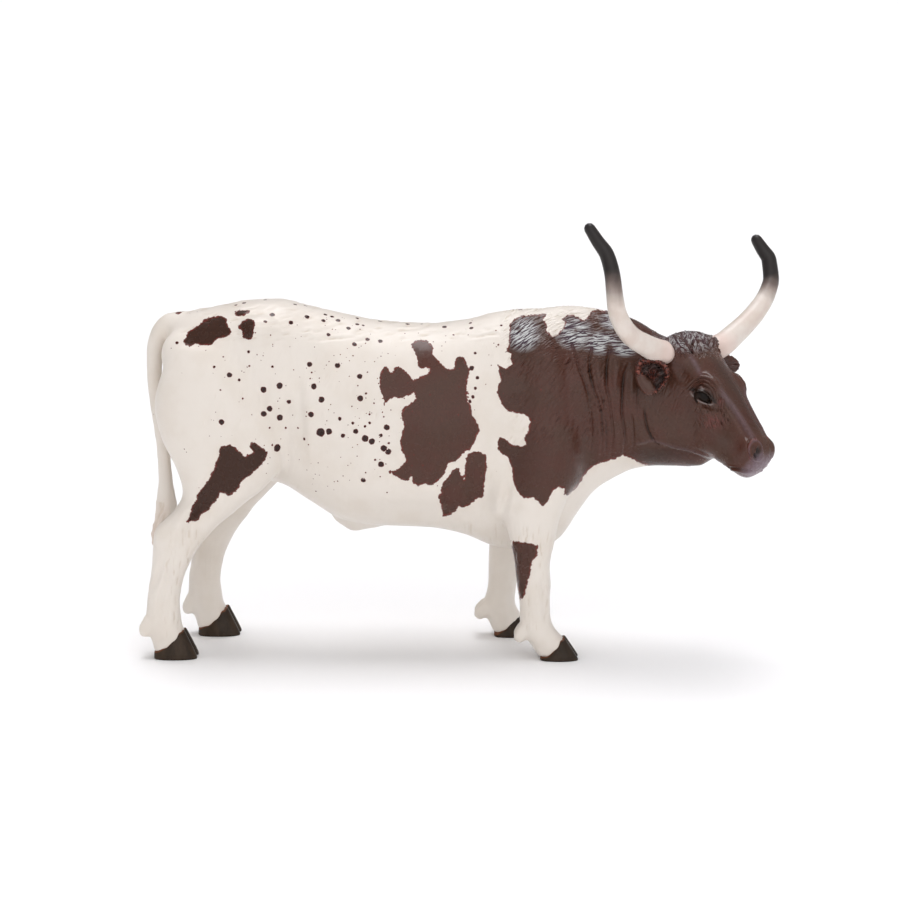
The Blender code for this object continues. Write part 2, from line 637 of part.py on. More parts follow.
def tail(grow=0.0):
    return tube(TAIL, TUBE_RINGS, TUBE_POINTS, grow)


def switch():
    return tube(SWITCH, TUBE_RINGS, TUBE_POINTS)


def hoof(sizes, side, step):
    """The horn of a foot, from the slanting coronet to its flat sole."""
    (front_x, front_z), (back_x, back_z), (toe, heel) = sizes
    front, back = np.array((front_x, front_z)), np.array((back_x, back_z))
    slope = (front - back) / np.linalg.norm(front - back)
    lift = np.array((-slope[1], slope[0])) * GAP
    rings = []
    for share, bulge in HOOF_SECTIONS:
        ahead = (front - lift) * (1 - share) + np.array((toe, SOLE_HEIGHT)) * share
        behind = (back - lift) * (1 - share) + np.array((heel, SOLE_HEIGHT)) * share
        middle = (ahead + behind) / 2
        way = (ahead - behind) / 2 * bulge
        half = HOOF_HALF_WIDTH[0] * (1 - share) + HOOF_HALF_WIDTH[1] * share
        centre = np.array((middle[0] + step, -side * LEG_OUT, middle[1]))
        length = np.linalg.norm(way)
        along = np.array((way[0], 0, way[1])) / length
        half *= bulge
        rings.append(ring(centre, ACROSS, along, half, length, length, 2.1, 2.4, around=HOOF_POINTS))
    return loft(rings[::-1])


# Cutting and parting

def remove(obj):
    mesh = obj.data
    bpy.data.objects.remove(obj)
    bpy.data.meshes.remove(mesh)


def cut(obj, cutters, operation="DIFFERENCE"):
    """The object less each cutter, or only what lies in each, with the cutters used up."""
    for cutter in cutters:
        boolean = obj.modifiers.new("cut", "BOOLEAN")
        boolean.operation = operation
        boolean.object = cutter
        boolean.solver = "EXACT"
        applied(obj)
        remove(cutter)
    return obj


def largest_piece(obj):
    """The object with only its largest closed surface."""
    mesh = bmesh.new()
    mesh.from_mesh(obj.data)
    unseen = set(mesh.faces)
    pieces = []
    while unseen:
        piece = set()
        waiting = [next(iter(unseen))]
        while waiting:
            face = waiting.pop()
            if face not in piece:
                piece.add(face)
                waiting += [other for edge in face.edges for other in edge.link_faces]
        pieces.append(piece)
        unseen -= piece
    largest = max(pieces, key=len)
    bmesh.ops.delete(mesh, geom=[face for face in mesh.faces if face not in largest], context="FACES")
    loose = [vertex for vertex in mesh.verts if not vertex.link_faces]
    bmesh.ops.delete(mesh, geom=loose, context="VERTS")
    mesh.to_mesh(obj.data)
    mesh.free()
    return obj


def made(name, surface):
    """A new object of a closed surface, with its faces pointing out."""
    obj = object_of(name, mesh_of(name, *surface))
    mesh = bmesh.new()
    mesh.from_mesh(obj.data)
    bmesh.ops.recalc_face_normals(mesh, faces=mesh.faces[:])
    mesh.to_mesh(obj.data)
    mesh.free()
    return obj


def slab(normal, point, size=200.0):
    """A large block that fills everything beyond a plane, on the side that its normal points to."""
    normal = np.array(normal, float)
    normal /= np.linalg.norm(normal)
    turn = Vector(normal).to_track_quat("Z", "Y").to_matrix()
    across, upward = np.array(turn.col[0]), np.array(turn.col[1])
    corners = [(-1, -1), (1, -1), (1, 1), (-1, 1)]
    near = [np.array(point) + size * (a * across + b * upward) for a, b in corners]
    far = [corner + normal * size for corner in near]
    return made("slab", loft([np.array(near), np.array(far)]))


def block(low, high):
    """A box between two corners."""
    (x0, y0, z0), (x1, y1, z1) = low, high
    rings = [np.array([(x0, y0, z), (x1, y0, z), (x1, y1, z), (x0, y1, z)], float) for z in (z0, z1)]
    return made("block", loft(rings))


def leg_block(side, place, grow=0.0):
    """What of the flesh belongs to a leg: place is its x range, its inner side and its top."""
    back, front, inner, top = place
    inner, outer = inner - grow, 60.0
    low_y, high_y = (-outer, -inner) if side == RIGHT else (inner, outer)
    return block((back, low_y, -10.0), (front + grow, high_y, top + grow))


def coarser(obj, triangles):
    """A copy of the object with about so many triangles."""
    copy = object_of(obj.name + " coarser", obj.data.copy())
    copy.data.calc_loop_triangles()
    decimate = copy.modifiers.new("fewer faces", "DECIMATE")
    decimate.ratio = triangles / len(copy.data.loop_triangles)
    return applied(copy)


def copied(obj, name):
    return object_of(name, obj.data.copy())


def paint(name, colour, roughness):
    material = bpy.data.materials.new(name)
    material.use_nodes = True
    shader = material.node_tree.nodes["Principled BSDF"]
    shader.inputs["Base Color"].default_value = colour
    shader.inputs["Roughness"].default_value = roughness
    return material


def finished(obj, name, colour, roughness=0.4):
    """The object under its node's name, cleaned up, smooth and painted."""
    largest_piece(obj)
    obj.name = obj.data.name = name
    obj.data.materials.clear()
    obj.data.materials.append(paint(name + " paint", colour, roughness))
    obj.data.transform(Matrix.Translation(Vector(TO_ORIGIN) * MM))
    obj.data.shade_smooth()
    obj.data.set_sharp_from_angle(angle=math.radians(50))
    return obj


def head_wedge(grow=0.0):
    """What of the flesh belongs to the head: beyond the plane behind its jaws, above the one under them."""
    normal = math.cos(HEAD_PLANE_TURN) * ALONG + math.sin(HEAD_PLANE_TURN) * UP
    point = on_head(*HEAD_PLANE_POINT)
    (a0, b0), (a1, b1) = JAW_PLANE
    above_jaw = (b0 - b1) * ALONG + (a1 - a0) * UP
    above_jaw /= np.linalg.norm(above_jaw)
    behind = slab(normal, point - normal * grow)
    below = slab(above_jaw, on_head(a0, 0, b0) - above_jaw * grow)
    return cut(behind, [below], "INTERSECT")


def neck_slab(grow=0.0):
    normal = np.array((math.cos(NECK_PLANE_TURN), 0, math.sin(NECK_PLANE_TURN)))
    return slab(normal, np.array(NECK_PLANE_POINT) - normal * grow)


def head_with_sockets(fine):
    head = cut(copied(fine, "head"), [neck_slab(), head_wedge()], "INTERSECT")
    seated = []
    for side in (RIGHT, LEFT):
        seated += [made("socket", shape(side, GAP)) for shape in (horn, ear, eye)]
    return cut(head, seated)


def foot_slab(sizes, step):
    """Everything below the slanting coronet."""
    (front_x, front_z), (back_x, back_z), _ = sizes
    return slab((front_z - back_z, 0, back_x - front_x), (front_x + step, 0, front_z))


def legs_and_hooves(coarse):
    feet = (
        ("leg_hind", "hoof_hind", HIND_PLACE, HIND_HOOF, LEFT_HIND_STEP),
        ("leg_front", "hoof_front", FORE_PLACE, FORE_HOOF, LEFT_FORE_STEP),
    )
    for leg_name, hoof_name, place, sizes, left_steps in feet:
        for side, word, steps in ((RIGHT, "right", NO_STEP), (LEFT, "left", left_steps)):
            step = steps[0][1]
            shank = cut(copied(coarse, "leg"), [leg_block(side, place)], "INTERSECT")
            cut(shank, [foot_slab(sizes, step)])
            finished(shank, f"{leg_name}_{word}", WHITE_PAINT)
            toe, heel = (x + step for x in sizes[2])
            cleft_start = toe - (toe - heel) * CLEFT_SHARE
            y = -side * LEG_OUT
            low = (cleft_start, y - CLEFT_WIDTH / 2, -2.0)
            high = (toe + 3, y + CLEFT_WIDTH / 2, 14.0)
            horny = cut(made("hoof", hoof(sizes, side, step)), [block(low, high)])
            finished(horny, f"{hoof_name}_{word}", HOOF_PAINT, 0.35)


def torso_less_the_rest(coarse):
    torso = cut(copied(coarse, "torso"), [neck_slab(GAP)])
    blocks = [
        leg_block(side, place, GAP)
        for place in (HIND_PLACE, FORE_PLACE)
        for side in (RIGHT, LEFT)
    ]
    return cut(torso, [*blocks, made("tail socket", tail(GAP))])


def clear_scene():
    for obj in list(bpy.data.objects):
        bpy.data.objects.remove(obj)


def main():
    clear_scene()
    body = flesh()
    coarse = coarser(body, FLESH_TRIANGLES)
    fine = coarser(body, FINE_TRIANGLES)
    remove(body)
    finished(head_with_sockets(fine), "head", BROWN_PAINT)
    neck = cut(copied(coarse, "neck"), [neck_slab()], "INTERSECT")
    finished(cut(neck, [head_wedge(GAP)]), "neck", BROWN_PAINT)
    finished(torso_less_the_rest(coarse), "torso", WHITE_PAINT)
    legs_and_hooves(coarse)
    for side, word in ((RIGHT, "right"), (LEFT, "left")):
        finished(made("horn", horn(side)), f"horn_{word}", HORN_PAINT, 0.35)
        below_horn = cut(made("ear", ear(side)), [made("horn's room", horn(side, GAP))])
        finished(below_horn, f"ear_{word}", BROWN_PAINT)
        finished(made("eye", eye(side)), f"eye_{word}", EYE_PAINT, 0.1)
    above = slab(UPWARD, (0, 0, TAIL_CUT_HEIGHT + GAP / 2))
    below = slab(-UPWARD, (0, 0, TAIL_CUT_HEIGHT - GAP / 2))
    finished(cut(made("tail", tail()), [above], "INTERSECT"), "tail", WHITE_PAINT)
    finished(cut(made("switch", switch()), [below], "INTERSECT"), "tail_switch", WHITE_PAINT)
    remove(coarse)
    remove(fine)


main()
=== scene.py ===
"""The looks of a moulded toy longhorn bull: a sculpted, painted skin, with its horns, ears, eyes and hooves.

Every size is in millimetres until a mesh is made. The skin is lofted from stations named for the places they
pass through, fused, and then carved with strokes. The body's middle is at x = 0 while it is modelled, and
everything moves by TO_ORIGIN at the end. +X is the way the body faces, +Y its left, +Z up.
"""

import math

import bmesh
import bpy
import numpy as np
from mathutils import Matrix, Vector
from mathutils.bvhtree import BVHTree


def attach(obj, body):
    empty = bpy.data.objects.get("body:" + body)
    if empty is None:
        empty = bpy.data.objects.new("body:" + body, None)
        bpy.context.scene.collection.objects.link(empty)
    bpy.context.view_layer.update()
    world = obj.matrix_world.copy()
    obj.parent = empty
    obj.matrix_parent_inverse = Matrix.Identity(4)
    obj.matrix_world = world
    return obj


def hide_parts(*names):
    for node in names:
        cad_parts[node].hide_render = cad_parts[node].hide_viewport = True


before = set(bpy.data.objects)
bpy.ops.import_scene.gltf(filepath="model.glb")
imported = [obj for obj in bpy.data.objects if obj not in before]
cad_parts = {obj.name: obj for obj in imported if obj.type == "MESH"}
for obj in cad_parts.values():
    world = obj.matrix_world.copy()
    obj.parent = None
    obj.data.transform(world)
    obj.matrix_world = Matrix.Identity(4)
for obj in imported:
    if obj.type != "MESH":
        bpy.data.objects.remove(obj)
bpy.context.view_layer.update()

MM = 0.001
SOLE_HEIGHT = 1.1  # of the soles while the body is modelled
TO_ORIGIN = (-22.4, 1.5, -SOLE_HEIGHT)

# The head's place and pose: the poll is the middle of the line between the two horn roots.
POLL = np.array((75.8, -6.0, 73.2))
HEAD_YAW = math.radians(45)  # towards the bull's right
HEAD_PITCH = math.radians(46)  # nose down
HEAD_ROLL = math.radians(3)  # right side up

RIGHT, LEFT = 1, -1
SIDES = ((RIGHT, "right"), (LEFT, "left"))
EYE_PLACE = (12.1, 5.4, -1.6)  # along the face, out to the side, up
EYE_RADIUS = 2.1
LEG_OUT = 12.0  # of each foot from the middle plane
FORWARD, ACROSS, UPWARD = np.identity(3)

# How fine the surfaces are, and the smoothing where two forms meet.
VOXEL = 0.45
RING_POINTS = 96
CAP_TURNS = (35, 65, 83)  # degrees from a tube's last ring to those that round its end
LAST_LEVEL = 84  # degrees from an ellipsoid's middle to its first and last ring
SMOOTHING_ROUNDS = 19
TORSO_RINGS, NECK_RINGS, HEAD_RINGS, LEG_RINGS = 110, 70, 80, 80

# The camera, where one pixel in the middle of the picture is 1 / PIXELS_PER_MM.
AIM = np.array((0.0, 0.0, 50.0))
AIM_PIXEL = (369.0, 442.0)
PICTURE = 900
PIXELS_PER_MM = 4.25
CAMERA_DISTANCE = 700.0
CAMERA_AZIMUTH = math.radians(2.5)
CAMERA_ELEVATION = math.radians(9.6)
SENSOR = 36.0


# Places on the head

def head_axes():
    """Unit vectors along the face, to the head's right, and up from the face."""
    cos_yaw, sin_yaw = math.cos(HEAD_YAW), math.sin(HEAD_YAW)
    cos_pitch, sin_pitch = math.cos(HEAD_PITCH), math.sin(HEAD_PITCH)
    along = np.array((cos_pitch * cos_yaw, -cos_pitch * sin_yaw, -sin_pitch))
    right = np.array((-sin_yaw, -cos_yaw, 0.0))
    up = np.array((sin_pitch * cos_yaw, -sin_pitch * sin_yaw, cos_pitch))
    cos_roll, sin_roll = math.cos(HEAD_ROLL), math.sin(HEAD_ROLL)
    return along, right * cos_roll + up * sin_roll, up * cos_roll - right * sin_roll


ALONG, TO_RIGHT, UP = head_axes()


def on_head(along, out, up, side=RIGHT):
    return POLL + along * ALONG + side * out * TO_RIGHT + up * UP


def head_places(points):
    """Each point as (along the face, to the right, up from the face)."""
    return (points - POLL) @ np.array((ALONG, TO_RIGHT, UP)).T


# Lofts

def curve_through(rows, count):
    """The rows of numbers made into count rows, on a smooth curve that doesn't overshoot them."""
    rows = np.array(rows, float)
    steps = np.linalg.norm(np.diff(rows[:, :3], axis=0), axis=1)
    at = np.concatenate([[0], np.cumsum(steps)])
    slopes = np.diff(rows, axis=0) / steps[:, None]
    tangents = np.zeros_like(rows)
    tangents[0], tangents[-1] = slopes[0], slopes[-1]
    product = slopes[:-1] * slopes[1:]
    both = np.abs(slopes[:-1] + slopes[1:]) + 1e-9
    tangents[1:-1] = np.where(product > 0, 2 * product / both * np.sign(slopes[1:]), 0)
    wanted = np.linspace(0, at[-1], count)
    k = np.clip(np.searchsorted(at, wanted, side="right") - 1, 0, len(steps) - 1)
    h = steps[k][:, None]
    t = (wanted - at[k])[:, None] / h
    return (
        (1 + 2 * t) * (1 - t) ** 2 * rows[k]
        + t * (1 - t) ** 2 * h * tangents[k]
        + t * t * (3 - 2 * t) * rows[k + 1]
        + t * t * (t - 1) * h * tangents[k + 1]
    )


def ring(
    centre, side_axis, up_axis, half, above, below, upper=2.0, lower=2.0, top_share=1.0, around=RING_POINTS
):
    """A closed outline round a centre.

    upper and lower are how square each half is, where 2 is an ellipse.
    top_share narrows it towards its top.
    """
    angle = np.linspace(0, 2 * math.pi, around, endpoint=False)
    c, s = np.cos(angle), np.sin(angle)
    power = np.where(s >= 0, 2 / upper, 2 / lower)
    rise = np.sign(s) * np.abs(s) ** power
    narrowed = 1 - (1 - top_share) * np.clip(rise, 0, 1) ** 1.6
    sideways = half * narrowed * np.sign(c) * np.abs(c) ** power
    upwards = np.where(s >= 0, above, below) * rise
    return centre + sideways[:, None] * side_axis + upwards[:, None] * up_axis


def loft(rings):
    """(points, faces) of the closed surface through the rings, capped at both ends."""
    points = np.concatenate(rings)
    count, around = len(rings), len(rings[0])
    faces = [tuple(range(around))[::-1], tuple(range((count - 1) * around, count * around))]
    for row in range(count - 1):
        low, high = row * around, (row + 1) * around
        for n in range(around):
            m = (n + 1) % around
            faces.append((low + n, low + m, high + m, high + n))
    return points, faces


def tube(rows, count, around=RING_POINTS):
    """A round tube along rows of (x, y, z, radius), with rounded ends."""
    line = curve_through(rows, count)
    centres, radii = line[:, :3], line[:, 3]
    ways = np.gradient(centres, axis=0)
    ways /= np.linalg.norm(ways, axis=1)[:, None]
    side = np.cross(ways[0], (0.3, 1.0, 0.2))  # no tube starts this way
    rings = []
    for centre, way, radius in zip(centres, ways, radii):
        side = side - way * (side @ way)
        side /= np.linalg.norm(side)
        rings.append(ring(centre, np.cross(side, way), side, radius, radius, radius, around=around))
    for end, way in ((0, -ways[0]), (-1, ways[-1])):
        centre, radius = centres[end], radii[end]
        cap = [
            centre + (rings[end] - centre) * math.cos(turn) + way * radius * math.sin(turn)
            for turn in map(math.radians, CAP_TURNS)
        ]
        rings = cap[::-1] + rings if end == 0 else rings + cap
    return loft(rings)


def ellipsoid(centre, radii, axes=np.identity(3), levels=17, around=RING_POINTS):
    """A lump with its radii along the three axes."""
    rings = []
    for turn in np.linspace(-LAST_LEVEL, LAST_LEVEL, levels):
        level, wide = math.sin(math.radians(turn)), math.cos(math.radians(turn))
        middle = np.array(centre) + axes[2] * radii[2] * level
        half, high = radii[0] * wide, radii[1] * wide
        rings.append(ring(middle, axes[0], axes[1], half, high, high, around=around))
    return loft(rings)


# The flesh, form by form. Each station's line starts with what it passes through.

TORSO = (  # x, top, bottom, height of the widest place, half width, squareness above and below
    (-46.5, 77.0, 57.0, 67, 4.0, 2.0, 2.0),  # behind the pin bones
    (-45.0, 79.5, 51.0, 67, 7.5, 2.0, 2.0),
    (-41.0, 81.2, 44.5, 67, 11.3, 2.1, 2.0),
    (-35.0, 82.3, 42.0, 66, 13.6, 2.2, 2.0),  # rump
    (-28.0, 83.6, 41.5, 66, 14.8, 2.3, 2.0),
    (-21.0, 83.9, 40.5, 62, 15.6, 2.3, 2.0),  # hips
    (-14.0, 82.4, 36.5, 57, 16.8, 2.1, 2.1),
    (-6.0, 80.6, 32.0, 54, 18.0, 2.0, 2.1),  # loin
    (3.0, 78.9, 30.6, 53, 18.8, 2.0, 2.1),
    (14.0, 78.3, 30.2, 53, 18.6, 2.0, 2.1),  # last ribs
    (22.0, 79.1, 28.5, 54, 17.6, 2.0, 2.0),
    (30.0, 81.0, 25.2, 56, 16.2, 1.9, 1.9),  # girth
    (37.0, 81.8, 24.2, 58, 14.8, 1.9, 1.8),  # withers
    (44.0, 81.9, 26.4, 58, 13.4, 1.9, 1.7),
    (49.0, 81.8, 33.0, 59, 12.4, 1.9, 1.7),  # point of the brisket
    (54.0, 81.4, 40.0, 61, 11.5, 1.9, 1.8),
)
# x, y, turn in degrees, top, bottom, height of the widest place, half width, squareness above and below
NECK = (
    (44.0, 0.0, 0, 81.5, 30.0, 59, 13.2, 1.9, 1.7),
    (50.0, 0.0, 3, 82.0, 36.0, 60, 12.6, 1.9, 1.7),
    (56.0, -0.4, 8, 81.3, 40.5, 61, 11.9, 1.9, 1.7),
    (62.0, -1.2, 15, 79.4, 44.0, 62, 11.2, 1.9, 1.7),
    (67.0, -2.4, 24, 76.4, 45.0, 61, 10.6, 1.9, 1.7),
    (72.0, -4.2, 34, 74.4, 45.2, 60, 9.8, 2.0, 1.6),
    (77.0, -7.4, 40, 71.0, 45.6, 58, 7.8, 2.0, 1.5),
    (81.0, -10.4, 40, 64.0, 48.0, 56, 5.0, 2.0, 1.5),  # throat
)
# Along the face, top, bottom, height of the widest place, half width, squareness above and below, top share
HEAD = (
    (-5.0, 0.0, -9.0, -3.5, 5.5, 2.4, 2.0, 0.9),
    (-3.8, 1.0, -12.5, -3.5, 7.8, 2.6, 2.0, 0.9),  # crown
    (-1.0, 1.7, -16.0, -3.2, 8.7, 2.8, 2.0, 0.9),  # horn roots
    (3.0, 2.7, -18.6, -3.2, 8.2, 2.8, 2.0, 0.8),
    (7.0, 3.1, -20.0, -3.4, 7.6, 2.8, 2.0, 0.7),  # jaw corner
    (10.5, 3.3, -19.4, -3.6, 6.8, 2.8, 2.0, 0.65),  # brow
    (14.0, 3.2, -17.4, -3.4, 6.4, 3.0, 2.1, 0.68),
    (18.0, 2.9, -15.0, -3.2, 5.7, 3.0, 2.2, 0.7),
    (22.0, 2.6, -12.4, -3.0, 4.9, 3.0, 2.3, 0.72),  # bridge of the nose
    (26.0, 2.4, -10.3, -2.8, 4.5, 2.8, 2.4, 0.74),
    (29.0, 1.7, -8.9, -2.8, 4.7, 2.4, 2.4, 0.8),  # muzzle
    (31.0, 0.6, -7.9, -3.0, 4.3, 2.3, 2.3, 0.9),
    (32.2, -1.0, -6.8, -3.6, 3.2, 2.2, 2.2, 1.0),
    (32.7, -2.4, -5.6, -3.9, 1.8, 2.0, 2.0, 1.0),
)
# Height, middle of the leg in x and out from the middle plane, half length, half width, squareness
HIND_LEG = (
    (74.0, -35.0, 8.5, 9.5, 4.5, 2.0),
    (68.0, -34.5, 9.0, 13.0, 7.0, 2.1),  # thigh
    (60.0, -34.3, 9.6, 15.0, 7.8, 2.2),
    (53.0, -33.6, 10.4, 14.2, 7.6, 2.2),
    (46.0, -32.2, 11.3, 12.2, 6.6, 2.2),  # stifle
    (41.0, -33.4, 11.8, 9.4, 5.6, 2.2),
    (38.0, -35.7, 12.0, 7.8, 4.8, 2.2),
    (35.0, -38.6, 12.0, 7.2, 4.2, 2.2),
    (31.5, -42.4, 12.0, 7.0, 3.9, 2.3),  # hock
    (28.0, -44.2, 12.0, 5.7, 3.8, 2.4),
    (24.0, -45.6, 12.0, 4.6, 3.6, 2.4),
    (19.0, -46.9, 12.0, 3.9, 3.3, 2.3),  # cannon
    (14.0, -47.7, 12.0, 3.9, 3.2, 2.3),
    (10.0, -47.7, 12.0, 4.1, 3.8, 2.3),  # fetlock
    (7.0, -46.9, 12.0, 4.1, 4.0, 2.3),
    (4.5, -45.9, 12.0, 4.5, 4.0, 2.3),
    (1.5, -45.2, 12.0, 4.6, 4.0, 2.3),
)
FORELEG = (
    (62.0, 38.0, 8.6, 9.0, 6.2, 2.1),  # shoulder
    (54.0, 40.0, 9.2, 9.8, 6.6, 2.2),
    (46.0, 40.2, 10.2, 9.0, 6.3, 2.2),
    (39.0, 39.0, 11.2, 7.6, 5.6, 2.2),  # elbow
    (33.0, 38.2, 11.8, 6.2, 4.9, 2.2),
    (29.0, 38.4, 12.0, 5.3, 4.5, 2.2),
    (23.0, 38.4, 12.0, 4.1, 3.8, 2.3),
    (18.5, 38.8, 12.0, 4.0, 3.9, 2.5),  # knee
    (15.0, 38.9, 12.0, 3.6, 3.5, 2.3),
    (12.0, 39.0, 12.0, 3.5, 3.2, 2.2),  # cannon
    (9.0, 39.4, 12.0, 3.8, 3.7, 2.3),  # fetlock
    (6.5, 40.9, 12.0, 4.2, 4.0, 2.3),
    (4.0, 43.0, 12.0, 4.6, 4.0, 2.3),
    (1.5, 44.4, 12.0, 4.6, 4.0, 2.3),
)
# How far each leg stands in x from the right one's place, at heights up the leg.
NO_STEP = ((0, 0.0), (80, 0.0))
HIND_STEPS = {RIGHT: NO_STEP, LEFT: ((0, 8.0), (14, 7.3), (30, 7.0), (45, 3.5), (60, 0.0), (80, 0.0))}
FORE_STEPS = {
    RIGHT: NO_STEP,
    LEFT: ((0, -10.8), (6, -9.6), (12, -7.7), (18, -6.8), (30, -5.0), (46, 0.0), (80, 0.0)),
}

DEWCLAW = (1.5, 1.35, 2.0)  # half sizes
DEWCLAW_OUT = 1.9  # each from the leg's middle
DEWCLAW_PLACES = (  # x and z of a pair's upper or lower half, and its leg's steps
    ((-51.3, 9.2), HIND_STEPS),
    ((36.2, 7.6), FORE_STEPS),
    ((-52.0, 7.9), HIND_STEPS),
    ((35.5, 6.6), FORE_STEPS),
)

TAIL = (  # x, y, z, radius
    (-37.0, 0.0, 77.5, 1.6),
    (-42.0, 0.0, 78.9, 2.2),  # tail head
    (-46.0, 0.0, 78.4, 2.4),
    (-48.8, 0.0, 75.6, 2.3),
    (-50.1, 0.0, 71.0, 2.0),
    (-50.3, 0.0, 66.0, 1.8),
    (-49.9, 0.0, 60.0, 1.7),
    (-49.1, 0.0, 54.0, 1.65),
    (-48.4, 0.0, 48.0, 1.65),
    (-48.0, 0.0, 41.0, 1.8),
)
SWITCH = (
    (-48.0, 0.0, 40.5, 1.8),
    (-47.9, 0.0, 36.5, 2.4),
    (-48.0, 0.0, 32.0, 3.1),
    (-48.2, 0.0, 27.5, 3.3),
    (-48.0, 0.0, 23.0, 2.7),
    (-47.5, 0.0, 18.5, 1.7),
    (-47.0, 0.0, 15.5, 0.8),
)
HORNS = {  # out from the poll, forward, up, radius; the two aren't quite alike
    RIGHT: (
        (10.6, -0.5, 0.1, 2.85),
        (12.8, -0.5, 0.8, 2.75),
        (16.5, -0.5, 2.4, 2.5),
        (21.0, -0.5, 4.7, 2.3),
        (24.3, -0.4, 7.8, 2.15),
        (25.9, -0.7, 11.1, 2.05),
        (26.2, -1.2, 15.0, 1.9),
        (25.4, -2.6, 18.8, 1.8),
        (24.9, -4.8, 23.2, 1.7),
        (25.8, -6.8, 26.2, 1.5),
        (26.4, -8.8, 29.0, 1.3),
    ),
    LEFT: (
        (8.4, -0.5, -0.6, 2.9),
        (11.0, -0.5, 0.2, 2.8),
        (14.4, -0.6, 1.8, 2.65),
        (18.8, -0.8, 4.0, 2.45),
        (23.4, -1.1, 6.8, 2.3),
        (27.6, -1.6, 10.5, 2.05),
        (30.4, -2.8, 13.9, 1.9),
        (31.9, -4.8, 17.9, 1.8),
        (31.3, -6.3, 20.3, 1.6),
        (31.0, -8.0, 22.5, 1.35),
    ),
}

EAR_ROOT = {RIGHT: (0.0, 7.4, -4.6), LEFT: (1.6, 7.4, -3.4)}  # along the face, out, up
LEFT_EAR_WAY = (0.1, 0.98, 0.0)
LEFT_EAR_FACING = (0.06, 0.61, 0.70)  # what its hollow looks towards
LEFT_EAR_SHARE = (0.94, 0.7)  # of the length and of the half width that the rows give
LEFT_EAR_EDGE = 0.225  # between its back's edge and its hollow's
LEFT_EAR = (  # along it, half width, how deep its back bulges, how deep its hollow is (negative is solid)
    (0.0, 1.6, 1.5, -1.5),
    (1.4, 1.9, 1.7, -1.5),
    (2.2, 3.0, 2.2, -0.4),
    (3.6, 4.3, 2.6, 1.7),
    (5.6, 4.8, 2.5, 1.6),
    (7.6, 4.3, 2.0, 1.1),
    (9.4, 2.9, 1.4, 0.5),
    (10.8, 1.3, 0.8, -0.1),
)

# Hooves: each is as long as its leg's foot, and its top slants along the coronet.
# The coronet's front and back as (x, z), then the toe and heel.
HIND_HOOF = ((-42.8, 8.0), (-49.8, 3.0), (-39.5, -49.8))
FORE_HOOF = ((45.9, 6.4), (40.3, 1.9), (49.4, 40.3))
HOOF_HALF_WIDTH = (3.9, 4.5)  # at the coronet and at the floor


def body_ring(row):
    x, top, bottom, widest, half, upper, lower = row
    return ring(np.array((x, 0, widest)), ACROSS, UPWARD, half, top - widest, widest - bottom, upper, lower)


def neck_ring(row):
    x, y, turn, top, bottom, widest, half, upper, lower = row
    left = np.array((math.sin(math.radians(turn)), math.cos(math.radians(turn)), 0))
    return ring(np.array((x, y, widest)), left, UPWARD, half, top - widest, widest - bottom, upper, lower)


def head_ring(row):
    along, top, bottom, widest, half, upper, lower, top_share = row
    middle = on_head(along, 0, widest)
    return ring(middle, TO_RIGHT, UP, half, top - widest, widest - bottom, upper, lower, top_share)


def leg(rows, side, steps):
    """A leg from its stations, each moved in x by what the steps say at its height."""
    rings = []
    for z, x, out, length, width, square in curve_through(rows, LEG_RINGS):
        x += np.interp(z, [s[0] for s in steps], [s[1] for s in steps])
        middle = np.array((x, -side * out, z))
        rings.append(ring(middle, ACROSS, FORWARD, width, length, length, square, square))
    return loft(rings)


def dewclaws(place, side, steps):
    """The two small claws behind a fetlock."""
    x, z = place
    x += np.interp(z, [s[0] for s in steps], [s[1] for s in steps])
    return [ellipsoid((x, -side * (LEG_OUT + out), z), DEWCLAW) for out in (-DEWCLAW_OUT, DEWCLAW_OUT)]


def muscles():
    """Lumps under the skin, on both sides of the body."""
    lumps = []
    for side in (RIGHT, LEFT):
        lumps += [
            ellipsoid((-24.5, -side * 9.5, 77.0), (6.0, 4.6, 4.2)),  # hip bone
            ellipsoid((-43.0, -side * 6.5, 71.5), (5.0, 4.4, 6.0)),  # pin bone
            ellipsoid((40.0, -side * 8.2, 60.0), (9.0, 6.8, 17.0)),  # shoulder blade
            ellipsoid((44.0, -side * 9.0, 47.0), (7.0, 5.6, 8.0)),  # point of the shoulder
            ellipsoid((32.5, -side * 10.0, 42.0), (6.5, 5.6, 9.0)),  # upper arm
        ]
    lumps += [
        ellipsoid((47.0, 0, 75.5), (15.0, 6.0, 7.0)),  # crest
        ellipsoid((-1.5, 0, 32.8), (7.5, 3.2, 3.6)),  # sheath
        ellipsoid((-3.4, 0, 31.0), (3.0, 2.0, 2.5)),
        ellipsoid((-34.0, 0, 38.5), (4.2, 3.6, 6.6)),  # scrotum
    ]
    return lumps


def head_lumps():
    """Brows, cheeks and muzzle, in the head's own directions."""
    axes = np.array((ALONG, TO_RIGHT, UP))
    lumps = []
    for side in (RIGHT, LEFT):
        lumps += [
            ellipsoid(on_head(11.9, 4.4, 0.6, side), (4.2, 2.2, 2.7), axes),  # brow
            ellipsoid(on_head(8.4, 4.2, -11.5, side), (6.4, 3.2, 6.6), axes),  # cheek
            ellipsoid(on_head(28.8, 2.9, -0.7, side), (3.0, 2.2, 2.6), axes),  # nostril
            ellipsoid(on_head(1.2, 6.2, -3.6, side), (3.2, 2.8, 3.0), axes),  # ear root
            ellipsoid(on_head(-0.6, 7.3, -0.6, side), (3.5, 3.0, 3.4), axes),  # horn root
        ]
    lumps.append(ellipsoid(on_head(-1.4, 0, -0.6), (4.2, 8.4, 3.2), axes))  # poll
    lumps.append(ellipsoid(on_head(29.4, 0, -6.2), (3.2, 3.2, 2.5), axes))  # chin
    return lumps


# The photograph's view of the right side, which most strokes and patches are drawn in

